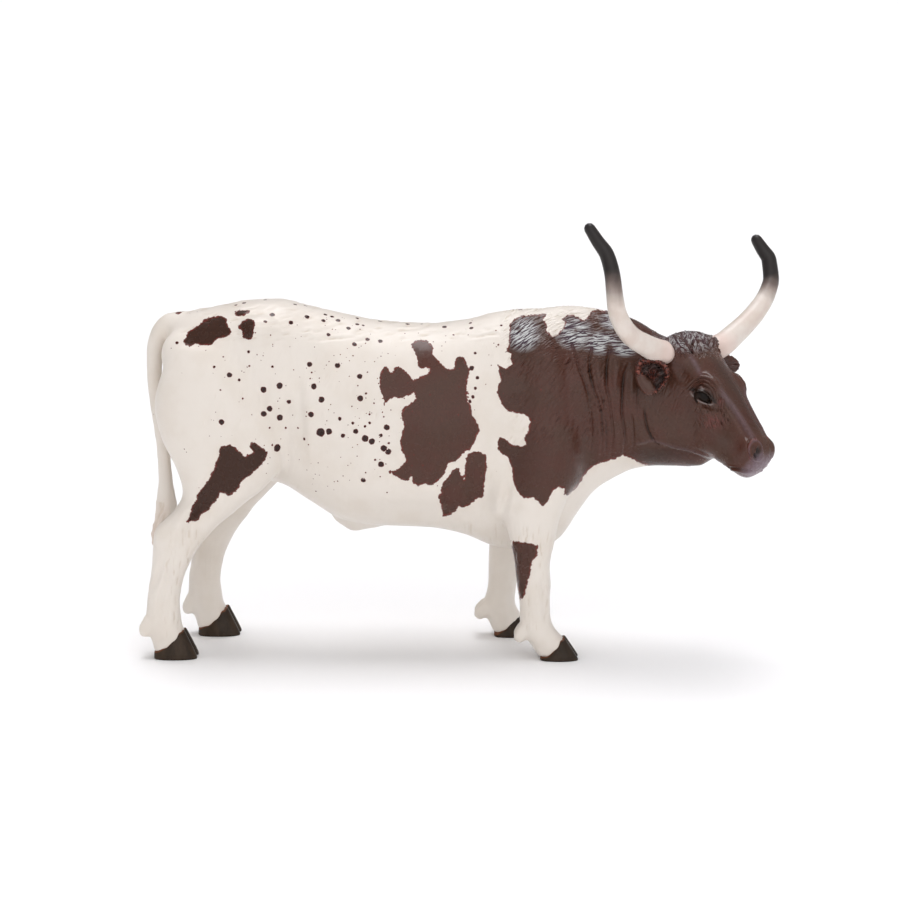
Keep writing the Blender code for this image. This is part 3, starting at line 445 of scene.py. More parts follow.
def view_axes():
    """Unit vectors to the picture's right, up in it, and back towards the camera."""
    ca, sa = math.cos(CAMERA_AZIMUTH), math.sin(CAMERA_AZIMUTH)
    ce, se = math.cos(CAMERA_ELEVATION), math.sin(CAMERA_ELEVATION)
    return np.array((ca, sa, 0)), np.array((-sa * se, ca * se, ce)), np.array((sa * ce, -ca * ce, se))


VIEW_RIGHT, VIEW_UP, VIEW_BACK = view_axes()


def seen(points):
    """Where each point is seen, in millimetres to the right of AIM and above it."""
    away = points - AIM
    scale = CAMERA_DISTANCE / (CAMERA_DISTANCE - away @ VIEW_BACK)
    return np.stack([away @ VIEW_RIGHT * scale, away @ VIEW_UP * scale], axis=1)


def from_each_side(points, normals):
    """Each side, its points with the left mirrored to look like the right, and how they face the view."""
    for side in (RIGHT, LEFT):
        turn = (1, side, 1)
        yield side, points * turn, (normals * turn) @ VIEW_BACK


def in_view(pixels):
    """Places in the picture as millimetres in the view."""
    return (np.array(pixels, float) - AIM_PIXEL) * (1, -1) / PIXELS_PER_MM


def over(vectors, left):
    """Vectors turned over by the head's middle plane, where left says so."""
    return vectors - 2 * (left * (vectors @ TO_RIGHT))[:, None] * TO_RIGHT


def turned_right(points):
    """Which points are on the head's left, and all points with those turned over to its right."""
    left = head_places(points)[:, 1] < 0
    return left, POLL + over(points - POLL, left)


# Carving: each of these is a distance that every point moves along its normal

def bell(values, middle, width):
    """1 at the middle, falling away to either side of it."""
    return np.exp(-(((values - middle) / width) ** 2))


def swelling(places, centre, radii, amount):
    """A smooth lump, or a hollow where amount is negative."""
    reach = sum(((places[:, n] - centre[n]) / radii[n]) ** 2 for n in range(len(centre)))
    return amount * np.clip(1 - reach, 0, 1) ** 2


def line_through(path, spacing):
    """Points along a smooth curve through the path's points."""
    path = np.array(path, float)
    steps = np.linalg.norm(np.diff(path, axis=0), axis=1)
    at = np.concatenate([[0], np.cumsum(steps)])
    count = max(4, int(at[-1] / spacing))
    rows = curve_through([(*p, 0.0) for p in path], count)
    return rows[:, :2]


def groove(flat, path, width, depth, lip=0.0, among=None, taper=0.3, spacing=0.7):
    """A groove along a path in the flat places, with a raised lip on either side of it."""
    line = line_through(path, spacing)
    margin = 3.5 * width
    low, high = line.min(axis=0) - margin, line.max(axis=0) + margin
    x, y = flat.T
    near = (x > low[0]) & (x < high[0]) & (y > low[1]) & (y < high[1])
    if among is not None:
        near &= among
    moved = np.zeros(len(flat))
    chosen = flat[near]
    if not len(chosen):
        return moved
    best = np.full(len(chosen), 1e9)
    where = np.zeros(len(chosen))
    for n, (a, b) in enumerate(zip(line[:-1], line[1:])):
        way = b - a
        t = np.clip(((chosen - a) @ way) / (way @ way), 0, 1)
        away = np.linalg.norm(chosen - a - t[:, None] * way, axis=1)
        closer = away < best
        best[closer] = away[closer]
        where[closer] = (n + t[closer]) / (len(line) - 1)
    fade = np.clip(np.minimum(where, 1 - where) / taper, 0, 1) ** 0.7
    moved[near] = (-depth * bell(best, 0, width) + lip * bell(best, 2 * width, width)) * fade
    return moved


def hairs(flat, among, box, way, count, length, width, depth, seed, bend=0.2):
    """Short combed grooves, scattered in a box, where way gives the direction at a place in degrees.

    The length, the width and the depth are those of an average one. bend is how far one curves aside.
    """
    chance = np.random.default_rng(seed)
    low, high = np.array(box) - (length, length), np.array(box) + (length, length)
    chosen = np.flatnonzero(among & (flat > low[0]).all(axis=1) & (flat < high[1]).all(axis=1))
    places = flat[chosen]
    carved = np.zeros(len(places))
    for _ in range(count):
        start = chance.uniform(*box)
        angle = math.radians(way(*start)) + chance.normal(0, 0.1)
        reach = length * chance.uniform(0.6, 1.3)
        ahead = np.array((math.cos(angle), math.sin(angle)))
        side = np.array((-ahead[1], ahead[0])) * chance.normal(0, bend) * reach * 0.25
        path = (start - ahead * reach / 2, start + side, start + ahead * reach / 2)
        strength = depth * chance.uniform(0.55, 1.2)
        wide = width * chance.uniform(0.8, 1.25)
        carved += groove(places, path, wide, strength, strength * 0.35, spacing=0.5)
    moved = np.zeros(len(flat))
    moved[chosen] = carved
    return moved


def combed(flat, middle, way):
    """How far along and across the hair each place is from a middle. way is its direction in degrees."""
    angle = np.radians(way(*flat.T))
    x, y = (flat - middle).T
    return np.stack([x * np.cos(angle) + y * np.sin(angle), y * np.cos(angle) - x * np.sin(angle)], axis=1)


# Outlines of the brown patches on the right side, in the view's millimetres

SHOULDER_PATCH = (
    (56.2, 32.7), (55.7, 30.6), (53.9, 31.1), (52.6, 30.7), (50.8, 28.4), (48.3, 29.8), (46.7, 29.8),
    (45.6, 28.9), (46.3, 28.0), (45.6, 26.6), (44.5, 25.3), (43.4, 24.6), (42.0, 26.0), (42.0, 27.5),
    (41.3, 28.9), (41.8, 29.9), (40.9, 30.1), (35.9, 29.7), (33.9, 28.6), (33.0, 27.3), (33.2, 24.6),
    (32.9, 22.4), (32.0, 21.0), (33.5, 20.6), (33.2, 19.4), (33.9, 18.3), (32.8, 17.4), (31.4, 17.6),
    (30.3, 18.3), (31.0, 15.2), (30.3, 11.6), (31.4, 8.4), (32.8, 7.3), (34.4, 6.7), (35.9, 6.6),
    (37.5, 5.7), (37.9, 4.4), (37.5, 2.6), (36.6, 1.0), (36.8, -0.6), (35.7, -1.0), (33.7, -0.7),
    (32.8, 0.3), (31.0, 1.0), (30.4, 0.1), (30.3, -1.7), (31.4, -3.1), (32.8, -3.5), (33.9, -7.3),
    (34.1, -9.6), (35.0, -11.8), (36.4, -13.4), (38.6, -13.2), (40.9, -15.1), (41.8, -14.3), (43.6, -11.2),
    (44.9, -10.7), (46.1, -11.2), (45.8, -12.5), (46.7, -12.7), (49.0, -10.7), (51.2, -7.1), (53.0, -5.8),
    (54.8, -4.9), (59.8, -3.5), (62.0, -4.2), (64.2, -5.3), (66.6, -6.1), (70.0, -6.6), (70.0, -14.0),
    (110.0, -14.0), (110.0, 60.0), (56.2, 60.0),
)
FLANK_PATCH = (
    (9.9, 23.3), (12.1, 24.0), (13.7, 23.8), (14.9, 22.9), (15.2, 21.9), (15.1, 20.8), (15.7, 19.9),
    (17.7, 17.8), (18.8, 17.2), (20.0, 17.4), (20.7, 19.9), (21.5, 20.2), (22.4, 19.8), (23.6, 17.4),
    (23.8, 16.1), (23.2, 14.3), (23.2, 10.2), (24.0, 8.6), (24.2, 6.8), (26.2, 2.8), (23.8, -1.9),
    (22.7, -2.2), (20.2, -4.6), (18.6, -4.9), (17.9, -7.6), (14.8, -10.3), (13.0, -9.8), (11.4, -10.3),
    (10.1, -9.6), (10.1, -8.2), (8.7, -9.1), (4.4, -7.1), (4.7, -6.4), (6.2, -6.7), (8.9, -4.4),
    (7.6, -1.5), (7.4, 0.1), (8.3, 3.9), (7.6, 5.9), (7.6, 7.1), (8.7, 8.4), (11.1, 10.0), (10.7, 11.5),
    (8.7, 10.9), (7.8, 10.2), (6.5, 10.6), (5.1, 10.1), (3.5, 8.6), (3.4, 10.2), (2.3, 13.4), (2.6, 15.6),
    (3.3, 17.4), (4.1, 18.1), (5.3, 16.1), (6.0, 17.4), (6.9, 17.9), (8.0, 17.6), (10.7, 14.5),
    (14.3, 16.3), (14.3, 17.2), (13.2, 17.4), (12.1, 17.2), (11.5, 17.9), (11.6, 19.2),
)
LOWER_PATCH = (
    (24.7, -2.3), (26.3, -2.2), (27.4, -3.3), (27.8, -5.1), (26.8, -13.2), (26.3, -13.4), (25.6, -13.2),
    (24.7, -14.1), (22.0, -15.7), (21.2, -15.2), (20.2, -16.6), (18.8, -17.5), (17.3, -17.7), (17.0, -15.0),
    (16.2, -13.2), (17.0, -11.8), (16.9, -10.3), (20.2, -6.0), (21.1, -6.2), (22.3, -8.9), (22.7, -3.7),
    (23.6, -2.6),
)
THIGH_PATCH = (
    (-34.6, -0.9), (-32.7, -0.3), (-30.1, -2.1), (-29.0, -3.4), (-28.4, -2.7), (-27.2, -2.3), (-28.0, -0.9),
    (-27.8, 0.1), (-26.8, 0.2), (-25.6, -0.9), (-23.6, -2.1), (-23.7, -3.0), (-25.2, -5.2), (-30.1, -9.3),
    (-31.1, -11.2), (-32.7, -12.4), (-34.8, -11.5), (-37.7, -15.9), (-39.5, -16.7), (-40.3, -18.1),
    (-42.0, -18.5), (-42.6, -19.2), (-43.2, -18.7), (-41.6, -15.0), (-40.7, -13.6), (-40.3, -12.0),
    (-36.2, -6.0), (-36.0, -4.2), (-35.2, -3.4), (-35.1, -2.1),
)
RUMP_PATCH = (
    (-43.4, 23.9), (-42.8, 25.6), (-41.4, 27.0), (-39.9, 27.8), (-38.9, 28.9), (-36.4, 29.7), (-34.6, 29.8),
    (-33.1, 29.2), (-33.4, 28.2), (-32.1, 26.4), (-32.5, 25.2), (-35.6, 24.3), (-36.6, 23.1), (-39.5, 22.8),
    (-40.3, 23.4), (-42.0, 22.5), (-43.0, 23.1),
)
HIP_PATCHES = (
    ((-31.5, 30.7), (-30.1, 31.3), (-28.0, 31.3), (-28.0, 30.7), (-29.3, 29.9), (-30.9, 29.8)),
    (
        (-30.5, 27.4), (-29.7, 28.6), (-28.0, 29.2), (-26.7, 28.8), (-26.8, 27.0), (-27.2, 24.7),
        (-28.2, 24.1), (-29.5, 24.7), (-29.7, 26.4),
    ),
    ((-45.7, 30.5), (-44.8, 31.0), (-43.4, 31.0), (-44.6, 30.3)),
)
FORELEG_PATCH = (
    (33.4, -23.3), (36.5, -23.8), (39.8, -24.5), (39.5, -26.8), (38.4, -28.2), (37.9, -31.3), (37.2, -33.6),
    (36.2, -36.7), (35.3, -37.2), (34.6, -34.0), (33.9, -28.4),
)
RIGHT_PATCHES = (
    SHOULDER_PATCH, FLANK_PATCH, LOWER_PATCH, THIGH_PATCH, RUMP_PATCH, *HIP_PATCHES, FORELEG_PATCH,
)
# On the side that the photograph doesn't show, mirrored into the same view.
LEFT_PATCHES = (
    (
        (56.2, 32.7), (55.0, 29.0), (51.0, 28.0), (48.6, 24.0), (44.0, 25.5), (39.5, 24.0), (36.0, 20.0),
        (38.0, 15.5), (34.0, 11.0), (35.0, 5.0), (32.0, 1.0), (36.5, -3.5), (38.0, -9.0), (42.0, -12.0),
        (44.5, -8.5), (49.0, -9.5), (54.0, -5.0), (60.0, -3.9), (64.2, -5.3), (66.6, -6.1), (70.0, -6.6),
        (70.0, -14.0), (110.0, -14.0), (110.0, 60.0), (56.2, 60.0),
    ),
    (
        (-6.0, 17.0), (-1.5, 20.5), (3.0, 18.5), (5.5, 20.0), (10.0, 17.0), (9.0, 12.5), (13.5, 9.0),
        (12.0, 4.0), (15.0, 0.5), (12.5, -5.5), (7.0, -8.0), (4.0, -5.5), (-1.0, -8.5), (-4.5, -4.5),
        (-2.0, 0.0), (-6.5, 3.5), (-4.0, 8.0), (-8.0, 12.0),
    ),
    ((20.0, -6.0), (24.0, -4.5), (26.0, -9.0), (23.0, -13.5), (19.0, -12.0), (17.5, -9.0)),
    (
        (-38.0, 8.0), (-33.0, 11.0), (-28.0, 8.5), (-27.0, 3.0), (-31.0, -1.0), (-33.0, -7.0), (-38.5, -9.0),
        (-41.0, -3.0), (-38.5, 2.0),
    ),
    ((-40.0, 25.0), (-36.5, 28.0), (-32.5, 26.5), (-33.0, 22.5), (-37.5, 21.5)),
    ((-21.0, 21.5), (-17.0, 23.5), (-15.5, 20.5), (-18.5, 18.5)),
)

# Spots on the right side: across and up in the view, and radius.
SPOTS = (
    (-45.0, 23.6, 0.42), (-28.2, 21.4, 0.35), (-36.2, 17.9, 0.35), (-32.7, 16.0, 0.62), (-28.0, 18.1, 0.24),
    (-30.4, 14.8, 0.35), (-22.6, 17.9, 0.31), (-20.9, 13.4, 0.75), (-24.7, 12.5, 0.72), (-34.8, 12.5, 0.25),
    (-29.6, 10.4, 0.25), (-18.8, 9.6, 0.5), (-23.3, 8.0, 0.7), (-24.7, 6.8, 0.7), (-20.9, 5.9, 0.76),
    (-34.6, 4.9, 0.66), (-23.3, 3.5, 0.26), (-19.5, 3.5, 0.25), (-16.7, 3.5, 0.26), (-21.6, -1.2, 0.9),
    (-22.7, -0.5, 0.31), (-15.2, 0.9, 0.33), (-13.9, 18.4, 0.62), (-13.4, 16.5, 0.25), (-7.3, 18.1, 0.63),
    (-12.9, 13.2, 0.7), (-11.1, 10.1, 0.72), (-13.6, 6.6, 0.68), (-6.8, 5.6, 0.47), (-11.3, 2.4, 1.0),
    (-9.4, 2.6, 0.74), (-6.1, 1.6, 0.52), (-3.8, 4.5, 0.35), (-3.1, 2.6, 0.62), (-2.1, 15.5, 0.64),
    (-0.7, 11.5, 0.29), (-2.0, 10.4, 0.7), (-9.4, 25.4, 0.5), (-3.3, 23.1, 0.58), (-0.2, 24.2, 0.55),
    (2.8, 23.8, 0.55), (0.2, 6.6, 0.29), (0.2, 4.6, 0.34), (-0.9, 3.8, 0.3), (4.2, 3.5, 0.7),
    (-0.9, 0.9, 0.8), (0.7, 0.2, 0.72), (2.8, 1.6, 0.4), (3.5, -1.4, 0.72), (4.5, -2.2, 0.7),
    (4.7, -0.2, 0.3), (1.4, -4.1, 0.25), (2.8, -5.2, 0.72), (-1.4, -8.9, 0.6), (4.2, -11.8, 0.22),
    (1.2, 9.2, 0.22), (3.2, 7.1, 0.22), (24.2, 26.8, 0.52), (24.0, 28.0, 0.4), (31.3, 27.4, 0.3),
    (20.0, 25.2, 0.3), (17.9, 27.1, 0.58), (25.1, 20.9, 0.36), (30.6, 22.8, 0.25), (24.2, 17.4, 0.6),
    (25.6, 15.1, 0.42), (25.1, 12.7, 0.38), (24.5, 10.6, 0.42), (23.8, 9.5, 0.42), (23.3, 10.6, 0.25),
    (35.8, 31.1, 0.52), (-14.4, 29.6, 0.62), (-18.2, 28.2, 0.55), (-22.6, 30.1, 0.62), (-24.2, 28.5, 0.45),
    (-10.6, 28.7, 0.5), (-7.1, 28.7, 0.6), (-10.1, 30.1, 0.45), (-8.5, 29.6, 0.5), (-14.7, 32.2, 0.5),
    (-17.2, 32.5, 0.45), (-24.2, 33.6, 0.5), (-29.2, 32.9, 0.55), (-31.1, 32.4, 0.4), (-4.7, 26.9, 0.55),
    (-2.6, 27.8, 0.5), (-2.6, 29.2, 0.42), (-1.2, 27.5, 0.36), (2.8, 28.5, 0.6), (9.2, 27.8, 0.5),
    (12.5, 27.8, 0.36),
)
# More of them, scattered: side, how many, smallest and largest radius
SCATTERED = ((RIGHT, 260, 0.07, 0.17), (LEFT, 260, 0.07, 0.17), (LEFT, 90, 0.3, 0.85))
SCATTER_ACROSS = (-2, 21)  # middle and spread
SCATTER_UP = (-12, 31)  # from and to
SPOT_REACH = 0.7  # how far outside a spot the faces still know of it


# Surfaces as arrays

def mesh_of(name, points, faces):
    mesh = bpy.data.meshes.new(name)
    mesh.from_pydata([tuple(p) for p in points * MM], [], faces)
    return mesh


def object_of(name, mesh):
    made = bpy.data.objects.new(name, mesh)
    bpy.context.scene.collection.objects.link(made)
    return made


def joined(surfaces):
    """Several (points, faces) as one."""
    points, faces, count = [], [], 0
    for some_points, some_faces in surfaces:
        points.append(some_points)
        faces += [tuple(n + count for n in face) for face in some_faces]
        count += len(some_points)
    return np.concatenate(points), faces


def applied(obj):
    """The object with its modifiers worked into its mesh."""
    graph = bpy.context.evaluated_depsgraph_get()
    mesh = bpy.data.meshes.new_from_object(obj.evaluated_get(graph), depsgraph=graph)
    old = obj.data
    obj.modifiers.clear()
    obj.data = mesh
    bpy.data.meshes.remove(old)
    return obj


def fused(name, surfaces, voxel):
    """One closed surface round several overlapping ones."""
    obj = object_of(name, mesh_of(name, *joined(surfaces)))
    remesh = obj.modifiers.new("fuse", "REMESH")
    remesh.mode = "VOXEL"
    remesh.voxel_size = voxel * MM
    return applied(obj)


def points_of(mesh):
    points = np.empty(len(mesh.vertices) * 3, np.float32)
    mesh.vertices.foreach_get("co", points)
    return points.reshape(-1, 3).astype(float) / MM


def set_points(mesh, points):
    mesh.vertices.foreach_set("co", (points * MM).astype(np.float32).ravel())
    mesh.update()


def normals_of(mesh):
    normals = np.empty(len(mesh.vertices) * 3, np.float32)
    mesh.vertex_normals.foreach_get("vector", normals)
    return normals.reshape(-1, 3).astype(float)


def edges_of(mesh):
    edges = np.empty(len(mesh.edges) * 2, np.int32)
    mesh.edges.foreach_get("vertices", edges)
    return edges.reshape(-1, 2)


def relaxed(points, edges, rounds, share=0.5):
    """Each point drawn towards its neighbours' middle."""
    a, b = edges.T
    count = len(points)
    degree = np.bincount(a, minlength=count) + np.bincount(b, minlength=count)
    share = np.broadcast_to(share, count)[:, None]
    for _ in range(rounds):
        sums = [np.bincount(a, points[b, c], count) + np.bincount(b, points[a, c], count) for c in range(3)]
        points = points + share * (np.stack(sums, axis=1) / degree[:, None] - points)
    return points


def finer(obj, wanted):
    """Cut every face in four where wanted says so of its middle."""
    mesh = bmesh.new()
    mesh.from_mesh(obj.data)
    middles = np.array([face.calc_center_median() for face in mesh.faces]) / MM
    edges = {edge for face, use in zip(mesh.faces, wanted(middles)) if use for edge in face.edges}
    bmesh.ops.subdivide_edges(mesh, edges=list(edges), cuts=1, use_grid_fill=True)
    mesh.to_mesh(obj.data)
    mesh.free()


def smoothed(obj, rounds):
    """The object's points after some rounds of relaxing, which its mesh gets too."""
    points = relaxed(points_of(obj.data), edges_of(obj.data), rounds)
    set_points(obj.data, points)
    return points


def moved_to_place(obj):
    set_points(obj.data, points_of(obj.data) + TO_ORIGIN)
    obj.data.shade_smooth()
    return obj


# The skin

def is_tail(points):
    return (points[:, 0] < -46.8) & (np.abs(points[:, 1]) < 4.5) & (points[:, 2] > 13)


def body_forms(points):
    """Hollows between the larger forms of the body and head."""
    moved = np.zeros(len(points))
    head = head_places(points)
    for side in (RIGHT, LEFT):
        out = points * (1, -side, 1)
        moved += swelling(out, (-15.0, 15.0, 70.0), (8.0, 9.0, 9.0), -1.5)  # hollow before the hip
        moved += swelling(out, (-17.5, 16.0, 56.0), (4.5, 9.0, 15.0), -1.3)  # flank
        moved += swelling(out, (26.0, 15.0, 40.0), (4.0, 9.0, 14.0), -1.0)  # behind the elbow
        moved += swelling(out, (51.0, 11.0, 54.0), (4.0, 8.0, 16.0), -0.9)  # before the shoulder
        face = head * (1, side, 1)
        moved += swelling(face, (19.5, 5.0, -1.5), (5.5, 4.0, 3.2), -0.6)  # below the eye
        moved += swelling(face, (6.0, 8.5, -1.5), (3.6, 4.0, 2.6), -0.8)  # temple
    moved += swelling(head, (-1.0, -8.0, 1.6), (5.5, 4.0, 3.5), -0.8)  # the far end of the crown
    moved += swelling(head, (-2.5, 1.0, 1.6), (6.0, 8.0, 3.5), -0.5)
    return moved


# The head's features, from places in the picture's pixels. They are carved alike on both sides.

EYE_CORNERS = in_view(((694.0, 394.2), (712.4, 404.0)))
EYE_HEIGHTS = (1.25, 0.8)  # of the upper and the lower lid over the line between the corners
LID = 0.4  # how thick the lids are over the eyeball
OPENING_DEPTH = 0.5  # of the skin below the eyeball's surface, between the lids
WRINKLES = (  # round the eye, with width and depth
    (
        (
            (688, 393.5), (692, 388.5), (698, 384), (703.5, 382.3), (709, 385), (713, 388.7), (716, 394),
            (717.5, 403),
        ),
        0.2, 0.24,
    ),
    (
        (
            (686.5, 390), (691, 385.5), (697, 380.8), (703, 379.2), (710, 381), (715, 385.2), (718.7, 391),
            (719.7, 399),
        ),
        0.2, 0.22,
    ),
    (
        (
            (690.5, 395), (694, 391), (699, 387.3), (704, 386), (708.5, 388), (711.8, 391.5), (714, 397),
            (715.5, 404),
        ),
        0.18, 0.2,
    ),
    (((700, 376.5), (706, 375.8), (711, 377.6), (715.5, 381), (719.5, 386)), 0.22, 0.14),
    (((719.3, 396), (720, 402), (719.5, 409)), 0.16, 0.16),
    (((721.8, 396), (722.2, 402), (721.5, 410)), 0.16, 0.15),
    (((724.6, 399), (724.6, 405), (723.5, 411)), 0.16, 0.12),
    (((694, 397), (699, 404), (705, 407), (712, 408.5)), 0.25, 0.14),
)
RIDGE = in_view(((718.5, 388), (727, 399), (736, 411), (744.5, 424), (751.5, 435.5), (757, 442.5)))
NOSTRIL = in_view((756.8, 452.3))
NOSTRIL_HALF = (1.5, 2.25)
MOUTH_LINE = in_view(((722, 467.6), (731, 469.2), (740, 470.5), (747, 472.3), (753.5, 471.8)))
JAW_LINE = in_view((
    (630, 448.5), (640, 443.5), (650, 441.8), (660, 443.3), (675, 448), (690, 451.2), (702, 455.3),
    (716, 461),
))
BROW_STREAK = in_view(((690, 354), (694, 361), (699, 370), (702.5, 378)))
FACE_FRONT = in_view(((716, 354), (742, 392), (765, 432)))  # down the middle of the face's front plane

NECK_FOLDS = {  # in the view, with width and depth; the left ones are mirrored into it
    RIGHT: (
        (
            (
                (47.5, 24.0), (48.7, 20.5), (49.7, 16.7), (51.0, 13.6), (51.8, 10.4), (52.2, 7.3),
                (52.5, 1.6), (52.0, -4.0),
            ),
            0.5, 0.32,
        ),
        (
            (
                (52.8, 22.6), (52.3, 20.6), (52.0, 18.6), (52.3, 15.3), (53.1, 11.9), (54.1, 9.0),
                (54.8, 6.0), (55.0, 1.6), (54.5, -4.5),
            ),
            0.55, 0.5,
        ),
        (
            (
                (57.2, 22.6), (56.6, 20.6), (56.2, 18.6), (56.0, 15.7), (56.0, 13.2), (56.6, 10.2),
                (57.0, 7.3), (57.5, 1.6), (56.8, -4.5),
            ),
            0.55, 0.5,
        ),
        (
            (
                (61.5, 18.6), (60.9, 17.4), (60.2, 15.7), (59.9, 13.6), (59.7, 10.4), (59.6, 7.3),
                (60.0, 4.1), (60.4, 0.4), (59.8, -3.8),
            ),
            0.55, 0.5,
        ),
        (((54.6, 8.0), (55.9, 4.0), (56.0, -0.5), (55.6, -3.5)), 0.4, 0.25),
        (((61.6, 8.0), (62.2, 4.0), (62.4, 0.0), (61.9, -3.0)), 0.45, 0.3),
        (((53.3, 15.6), (54.4, 12.5), (55.2, 10.0), (55.8, 6.0)), 0.4, 0.25),
        (((64.2, 16.5), (63.6, 13.0), (63.4, 9.5), (63.6, 6.0)), 0.4, 0.3),
        (((64.8, 9.4), (65.2, 4.9), (66.4, 1.0), (68.5, -1.4)), 0.42, 0.42),
    ),
    LEFT: (
        (((51.0, 20.0), (51.8, 14.0), (53.5, 8.0), (54.0, 1.0)), 0.7, 0.5),
        (((56.0, 21.0), (56.5, 15.0), (58.0, 8.0), (58.0, 0.0)), 0.8, 0.5),
        (((61.0, 19.0), (61.0, 13.0), (62.0, 6.0), (61.5, -1.0)), 0.7, 0.4),
    ),
}


def eye_reach(flat):
    """How far out of the eye's opening each place is, 1 at its edge, and how far above its corners' line."""
    back, front = EYE_CORNERS
    way = (front - back) / 2
    away = flat - (front + back) / 2
    long = away @ way / (way @ way)
    above = (way[0] * away[:, 1] - way[1] * away[:, 0]) / np.linalg.norm(way)
    high = np.where(above > 0, *EYE_HEIGHTS)
    power = 1.7  # an almond, a little more pointed than an ellipse
    return (np.abs(long) ** power + np.abs(above / high) ** power) ** (1 / power), above


def with_lids(points):
    """The skin laid over the eyeballs, with an opening between two lids."""
    left, turned = turned_right(points)
    away = turned - on_head(*EYE_PLACE)
    depth = away @ VIEW_BACK
    from_middle = np.sum(away**2, axis=1) - depth**2
    reach, _ = eye_reach(seen(turned))
    radius = np.where(reach < 1, EYE_RADIUS - OPENING_DEPTH, EYE_RADIUS + LID)
    wanted = np.sqrt(np.maximum(radius**2 - from_middle, 0))
    wanted = np.where(reach < 1, wanted, np.maximum(wanted, depth - 0.8))
    wanted += 0.16 * bell(reach, 1.2, 0.13)  # a rim along the lids
    share = np.clip((3.0 - reach) / 1.4, 0, 1)
    share = share * share * (3 - 2 * share) * (np.abs(head_places(points)[:, 1]) > 0.4)
    share = share * (depth > 0) * (depth < 2.2 * EYE_RADIUS)
    return points + over((share * (wanted - depth))[:, None] * VIEW_BACK, left)


def shoulder_way(x, y):
    """Which way the hair on the shoulder's top is combed, in degrees."""
    return 36 - 30 * np.clip((x - 36) / 18, 0, 1) + 30 * np.clip((21 - y) / 6, 0, 1)


def poll_way(x, y):
    """Which way the curls between the horns lie."""
    return -62 + 34 * np.sin(1.3 * x + 0.8 * y)


def steady(degrees):
    """The same way for the hair at every place."""
    return lambda x, y: degrees + 0.0 * x


def along_neck(degrees, fall):
    """Ways that turn down by so many degrees to the millimetre in front of the shoulder."""
    return lambda x, y: degrees - fall * (x - 56)


upright = steady(88.0)

# Combed strokes: on which points, box in the view, way, how many, length, width, depth, seeds by side
STROKES = (
    ("body", ((32.0, 22.0), (57.0, 32.0)), shoulder_way, 640, 2.4, 0.12, 0.075, {RIGHT: 6, LEFT: 4}),
    ("body", ((32.5, 18.0), (56.0, 23.5)), shoulder_way, 190, 2.2, 0.12, 0.07, {RIGHT: 7, LEFT: 5}),
    ("body", ((56.0, 20.5), (68.0, 26.5)), along_neck(8, 3), 240, 2.2, 0.12, 0.075, {RIGHT: 8, LEFT: 6}),
    ("body", ((33.0, 0.0), (56.0, 19.0)), steady(52), 260, 2.4, 0.24, 0.1, {RIGHT: 10, LEFT: 8}),
    ("body", ((-44.0, 24.0), (30.0, 33.0)), steady(8), 260, 3.0, 0.3, 0.1, {RIGHT: 16, LEFT: 14}),
    ("broadside", ((-48.0, -45.0), (42.0, -20.0)), upright, 900, 3.2, 0.26, 0.13, {RIGHT: 26, LEFT: 24}),
    ("broadside", ((-40.0, -20.0), (30.0, 24.0)), steady(75), 260, 2.6, 0.3, 0.07, {RIGHT: 36, LEFT: 34}),
    ("tail", ((-52.0, -36.0), (-45.0, -14.0)), upright, 26, 8.0, 0.3, 0.3, {RIGHT: 45, LEFT: 45}),
)


def on_body(turned, towards):
    """Which points of the body's near half can be seen from its side."""
    return (towards > 0.02) & (turned[:, 1] < 1)


def carved_body(points, normals):
    """Folds and combed hair on the neck, shoulders, flanks and legs."""
    moved = np.zeros(len(points))
    for side, turned, towards in from_each_side(points, normals):
        flat = seen(turned)
        body = on_body(turned, towards)
        switch = is_tail(turned) & (points[:, 2] < 36)
        which = {"body": body, "broadside": body & (towards > 0.3), "tail": switch}
        for path, width, depth in NECK_FOLDS[side]:
            moved += groove(flat, path, 2.2 * width, 0.8 * depth, 0.5 * depth, body, 0.25)
            moved += groove(flat, path, 0.55 * width, 0.8 * depth, 0.2 * depth, body, 0.25)
        for among, box, way, count, length, width, depth, seeds in STROKES:
            moved += hairs(flat, which[among], box, way, count, length, width, depth, seeds[side])
    return moved


BELLY_EDGE = ((-13.0, 42.0), (2.0, 36.5), (18.0, 35.5), (27.0, 36.0))  # x and z
SOFT_FOLDS = (  # in the view, with width, depth and lip
    (((-17.4, 21.6), (-16.6, 14.0), (-15.8, 6.0), (-15.2, -8.0)), 1.1, 0.3, 0.15),  # flank
    (((32.9, -8.9), (32.2, -13.5), (31.0, -18.0)), 0.8, 0.5, 0.2),  # behind the elbow
    (in_view(((208, 490), (199, 505), (186, 520), (180, 535), (177, 550))), 0.7, 0.4, 0.2),  # thigh
    (in_view(((163, 556), (158, 575), (150, 592))), 0.5, 0.3, 0.15),  # tendons
    (in_view(((170, 560), (166, 580), (160, 600), (158, 618))), 0.5, 0.3, 0.15),
    (in_view(((541, 575), (543, 600), (545, 625))), 0.5, 0.3, 0.15),
)


def soft_folds(points, normals):
    """The belly's edge, the folds of flank, elbow and thigh, and the legs' tendons."""
    moved = np.zeros(len(points))
    for _, turned, towards in from_each_side(points, normals):
        flat = seen(turned)
        body = on_body(turned, towards)
        moved += groove(turned[:, (0, 2)], BELLY_EDGE, 2.2, 0.5, 0.1, body)
        for path, width, depth, lip in SOFT_FOLDS:
            moved += groove(flat, path, width, depth, lip, body)
    return moved


